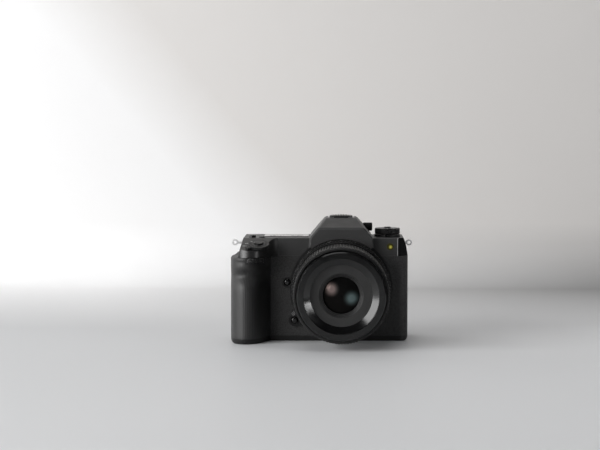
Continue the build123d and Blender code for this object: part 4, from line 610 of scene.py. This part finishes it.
def mark_mode_dial():
    low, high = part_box("mode_dial")
    middle, radius = (low + high) / 2, (high.x - low.x) / 2
    for step, mode in enumerate(DIAL_MODES):
        a = radians(DIAL_INDEX_ANGLE + 360 / len(DIAL_MODES) * step)
        out = Vector((cos(a), sin(a), 0))
        place = Vector((middle.x, middle.y, high.z)) + out * (radius - DIAL_WORD_INSET)
        lettering(f"mode_{step}", mode, place, (out.y, -out.x, 0), UP, 1.9 * MM, "mode_dial")
    a = radians(DIAL_INDEX_ANGLE)
    out = Vector((cos(a), sin(a), 0))
    place = Vector((middle.x, middle.y, DECK_Z)) + out * (radius + DIAL_INDEX_GAP)
    stroke("mode_index", place, out, UP, length=2.2 * MM, width=0.45 * MM, body="root")


def on_slope(angle, radius, height=0.0):
    """A place on the platform's slope round the shutter button, with the directions outward and up."""
    across, along = radius * cos(angle), radius * sin(angle)
    downhill = Vector((0, cos(PLATFORM_SLOPE), sin(PLATFORM_SLOPE)))
    up = Vector((0, -sin(PLATFORM_SLOPE), cos(PLATFORM_SLOPE)))
    outward = Vector((cos(angle), 0, 0)) + downhill * sin(angle)
    return RELEASE_PLACE + Vector((across, 0, 0)) + downhill * along + up * height, outward, up


def mark_platform():
    for name, characters, angle in (("power_off", "OFF", OFF_ANGLE), ("power_on", "ON", ON_ANGLE)):
        place, outward, up = on_slope(angle, POWER_WORD_RADIUS)
        lettering(name, characters, place, (1, 0, 0), up, 1.5 * MM, "root")
    place, outward, up = on_slope(OFF_ANGLE, LEVER_INDEX_RADIUS, LEVER_TOP)
    stroke("power_index", place, outward, up, length=2.0 * MM, width=0.45 * MM, body="power_lever")


def mark_deck():
    """The settings that the deck display keeps showing, and dark discs of painted shade for the small holes of
    the microphones.
    """
    low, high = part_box("sub_display")
    middle = (low + high) / 2
    for step, (characters, right, up, size) in enumerate(DISPLAY_ROWS):
        place = Vector((middle.x + right, middle.y + up, high.z))
        lettering(f"display_row_{step}", characters, place, (-1, 0, 0), UP, size, "root", "grey_ink_and_highlight")
    for group, x in MICROPHONE_PLACES:
        for step in range(MICROPHONE_HOLES):
            place = (x, MICROPHONE_START + MICROPHONE_PITCH * step, DECK_Z)
            # Dark discs as painted shade for the holes
            dot(f"microphone_{group}_{step}", place, UP, MICROPHONE_RADIUS, "painted_hole_shade")


def add_shoe_contacts():
    low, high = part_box("hot_shoe")
    middle = Vector(((low.x + high.x) / 2, (low.y + high.y) / 2, low.z + SHOE_FLOOR))
    corners = [(x, y) for y in (CONTACT_FRONT, CONTACT_REAR) for x in (-CONTACT_SIDE, CONTACT_SIDE)]
    for step, (x, y) in enumerate([(0, 0)] + corners):
        dot(f"shoe_contact_{step}", middle + Vector((x, y, 0)), UP, CONTACT_RADIUS, "contact_gold")


# Back of the body
SIGN_RISE, WORD_HEIGHT, PLAY_HALF = 2.0 * MM, 1.5 * MM, 0.9 * MM
REAR_WORDS = (("menu_word", "menu_button", "MENU"), ("quick_word", "quick_button", "Q"),
              ("focus_word", "focus_on_button", "AF ON"))


def above_button(node):
    low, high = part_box(node)
    return Vector(((low.x + high.x) / 2, REAR_Y, high.z + SIGN_RISE))


def mark_back():
    """Plain words and signs over the rear buttons, read from behind."""
    for name, node, characters in REAR_WORDS:
        lettering(name, characters, above_button(node), (-1, 0, 0), (0, 1, 0), WORD_HEIGHT, "root", "grey_ink_and_highlight")
    middle = above_button("play_button")
    corners = [middle + Vector((PLAY_HALF, 0, PLAY_HALF)), middle + Vector((PLAY_HALF, 0, -PLAY_HALF)),
               middle + Vector((-PLAY_HALF, 0, 0))]
    plate("play_sign", corners, INK_THICKNESS, "root", "grey_ink_and_highlight")


# Floor and backdrop, in metres
STAGE_HALF_WIDTH, FLOOR_FRONT, WALL_Y, WALL_TOP = 3.5, -0.85, 0.47, 2.4
CORNER_RADIUS, CORNER_STEPS = 0.05, 10
# Painted light on the floor: darker at the left, lighter at the right
FLOOR_LEVEL, FLOOR_LEFT_SHARE, FLOOR_RIGHT_SHARE, FLOOR_BLUE = 0.68, 0.86, 1.28, 0.015
FLOOR_LEFT_X, FLOOR_RIGHT_X, FLOOR_FAR_START, FLOOR_FAR_END = -0.35, 0.30, 0.06, 0.42
# Painted light on the wall: bright at the left, painted shade towards the right
WALL_BRIGHT, WALL_SHADED, WALL_WARMTH = 0.84, 0.67, 0.025
SHADE_ACROSS, SHADE_UP, SHADE_CLOUD, SHADE_START, SHADE_END = 0.9, 0.8, 0.04, -0.04, 0.07
# Painted shade where floor and wall meet, pale at the left and dusky at the right
FOOT_LEFT, FOOT_RIGHT, FOOT_LEFT_X, FOOT_RIGHT_X, FOOT_RISE = 0.96, 0.32, -0.25, 0.35, 0.07
STAGE_CLOUD = 0.35


def foot_shade(tree, x):
    """Painted shade where floor and wall melt into each other, pale at the left and dusky at the right."""
    share = spread(tree, x, FOOT_LEFT_X, FOOT_RIGHT_X, 0.0, 1.0)
    return mix_colour(tree, share, colour(FOOT_LEFT), colour(FOOT_RIGHT))


def floor_surface(name):
    """A plain tabletop, a little blue, painted darker at the left and lighter at the right as painted light,
    its far edge melting into the painted shade at the foot of the wall.
    """
    material, tree, shader = new_material(name)
    place = object_place(tree)
    parts = axes(tree, place)
    cloud = noise(tree, place, STAGE_CLOUD, detail=2.0)
    far = spread(tree, parts["Y"], FLOOR_FAR_START, FLOOR_FAR_END, 0.0, 1.0)
    # Painted light: darker at the left, lighter at the right
    painted_falloff = mix_colour(tree, spread(tree, parts["X"], FLOOR_LEFT_X, FLOOR_RIGHT_X, 0.0, 1.0),
                      colour(FLOOR_LEVEL * FLOOR_LEFT_SHARE, -FLOOR_BLUE),
                      colour(FLOOR_LEVEL * FLOOR_RIGHT_SHARE, -FLOOR_BLUE))
    clouded = mix_colour(tree, calc(tree, "MULTIPLY", cloud, 0.05), painted_falloff, colour(1.0))
    set_inputs(tree, shader, {
        "Base Color": mix_colour(tree, far, clouded, foot_shade(tree, parts["X"])),
        "Roughness": mottled(tree, cloud, 0.5, 0.58),
    })
    return material


def wall_surface(name):
    """A pale wall with painted light: bright at the left and painted shade towards the right and at its foot;
    open to the eye from behind.
    """
    material, tree, shader = new_material(name)
    place = object_place(tree)
    parts = axes(tree, place)
    cloud = noise(tree, place, STAGE_CLOUD, detail=2.0)
    reach = calc(tree, "ADD", calc(tree, "MULTIPLY", parts["X"], SHADE_ACROSS),
                 calc(tree, "MULTIPLY", parts["Z"], SHADE_UP))
    clouded = calc(tree, "ADD", reach, calc(tree, "MULTIPLY", cloud, SHADE_CLOUD))
    upper = mix_colour(tree, spread(tree, clouded, SHADE_START, SHADE_END, 0.0, 1.0), colour(WALL_BRIGHT),
                       colour(WALL_SHADED, WALL_WARMTH))
    # Painted shade at the foot of the wall
    foot = spread(tree, parts["Z"], FOOT_RISE, 0.0, 0.0, 1.0)
    set_inputs(tree, shader, {
        "Base Color": mix_colour(tree, foot, upper, foot_shade(tree, parts["X"])),
        "Roughness": mottled(tree, cloud, 0.55, 0.6),
    })
    behind = add(tree, "ShaderNodeNewGeometry").outputs["Backfacing"]
    nothing = add(tree, "ShaderNodeBsdfTransparent").outputs["BSDF"]
    one_sided = add(tree, "ShaderNodeMixShader", {0: behind, 1: shader.outputs["BSDF"], 2: nothing})
    tree.links.new(one_sided.outputs["Shader"], tree.nodes["Material Output"].inputs["Surface"])
    return material


def stage_sheet(name, points, material):
    """A sheet swept sideways along a profile of (y, z) points."""
    vertices = [(side * STAGE_HALF_WIDTH, y, z) for y, z in points for side in (-1, 1)]
    faces = [(2 * i, 2 * i + 1, 2 * i + 3, 2 * i + 2) for i in range(len(points) - 1)]
    mesh = bpy.data.meshes.new(name)
    mesh.from_pydata(vertices, [], faces)
    mesh.shade_smooth()
    mesh.materials.append(material)
    piece = bpy.data.objects.new(name, mesh)
    bpy.context.scene.collection.objects.link(piece)


def build_stage():
    floor_end = WALL_Y - CORNER_RADIUS
    corner = [(floor_end + CORNER_RADIUS * sin(a), CORNER_RADIUS - CORNER_RADIUS * cos(a))
              for a in (pi / 2 * i / CORNER_STEPS for i in range(CORNER_STEPS + 1))]
    stage_sheet("floor", [(FLOOR_FRONT, 0.0), (floor_end, 0.0)], floor_surface("floor_grey"))
    stage_sheet("backdrop", corner + [(WALL_Y, WALL_TOP)], wall_surface("wall_grey"))


# Lamps, in metres and watts, and camera
OBJECT_MIDDLE = (0.0, 0.0, 0.05)
WORLD_COLOUR, WORLD_STRENGTH = (0.86, 0.90, 1.0, 1), 0.045


def area_lamp(name, place, size, power, aim=OBJECT_MIDDLE, tint=(1, 1, 1)):
    data = bpy.data.lights.new(name, "AREA")
    data.shape = "RECTANGLE"
    data.size, data.size_y = size
    data.energy = power
    data.color = tint
    lamp = bpy.data.objects.new(name, data)
    lamp.location = place
    lamp.rotation_euler = (Vector(aim) - Vector(place)).to_track_quat("-Z", "Y").to_euler()
    bpy.context.scene.collection.objects.link(lamp)


def build_lamps():
    area_lamp("window_left", place=(-1.30, -0.85, 0.48), size=(1.25, 1.0), power=29.0)
    area_lamp("sky", place=(-0.3, 0.0, 1.7), size=(1.6, 1.0), power=6.0, aim=(0.0, 0.0, 0.0))
    area_lamp("front_left", place=(-1.30, -2.10, 0.66), size=(0.6, 0.5), power=5.0, tint=(1.0, 0.93, 0.9))
    area_lamp("strip_right", place=(1.19, -0.76, 0.72), size=(0.06, 1.3), power=4.6, aim=(0.0, 0.0, 1.30))
    world = bpy.data.worlds.new("studio")
    world.use_nodes = True
    background = world.node_tree.nodes["Background"]
    background.inputs["Color"].default_value = WORLD_COLOUR
    background.inputs["Strength"].default_value = WORLD_STRENGTH
    bpy.context.scene.world = world


def build_camera():
    data = bpy.data.cameras.new("camera")
    data.lens = CAMERA_LENS_MM
    data.sensor_width = SENSOR_WIDTH_MM
    data.clip_start = CAMERA_CLIP
    camera = bpy.data.objects.new("camera", data)
    camera.location = CAMERA_PLACE
    camera.rotation_euler = (CAMERA_AIM - CAMERA_PLACE).to_track_quat("-Z", "Y").to_euler()
    bpy.context.scene.collection.objects.link(camera)
    bpy.context.scene.camera = camera


build_camera()
build_stage()
build_lamps()
dress_cad()
mark_lens()
add_lens_rings()
add_hump_lip()
add_release_ridges()
mark_mode_dial()
mark_platform()
mark_back()
mark_deck()
add_shoe_contacts()
bpy.context.scene.view_settings.view_transform = "Standard"
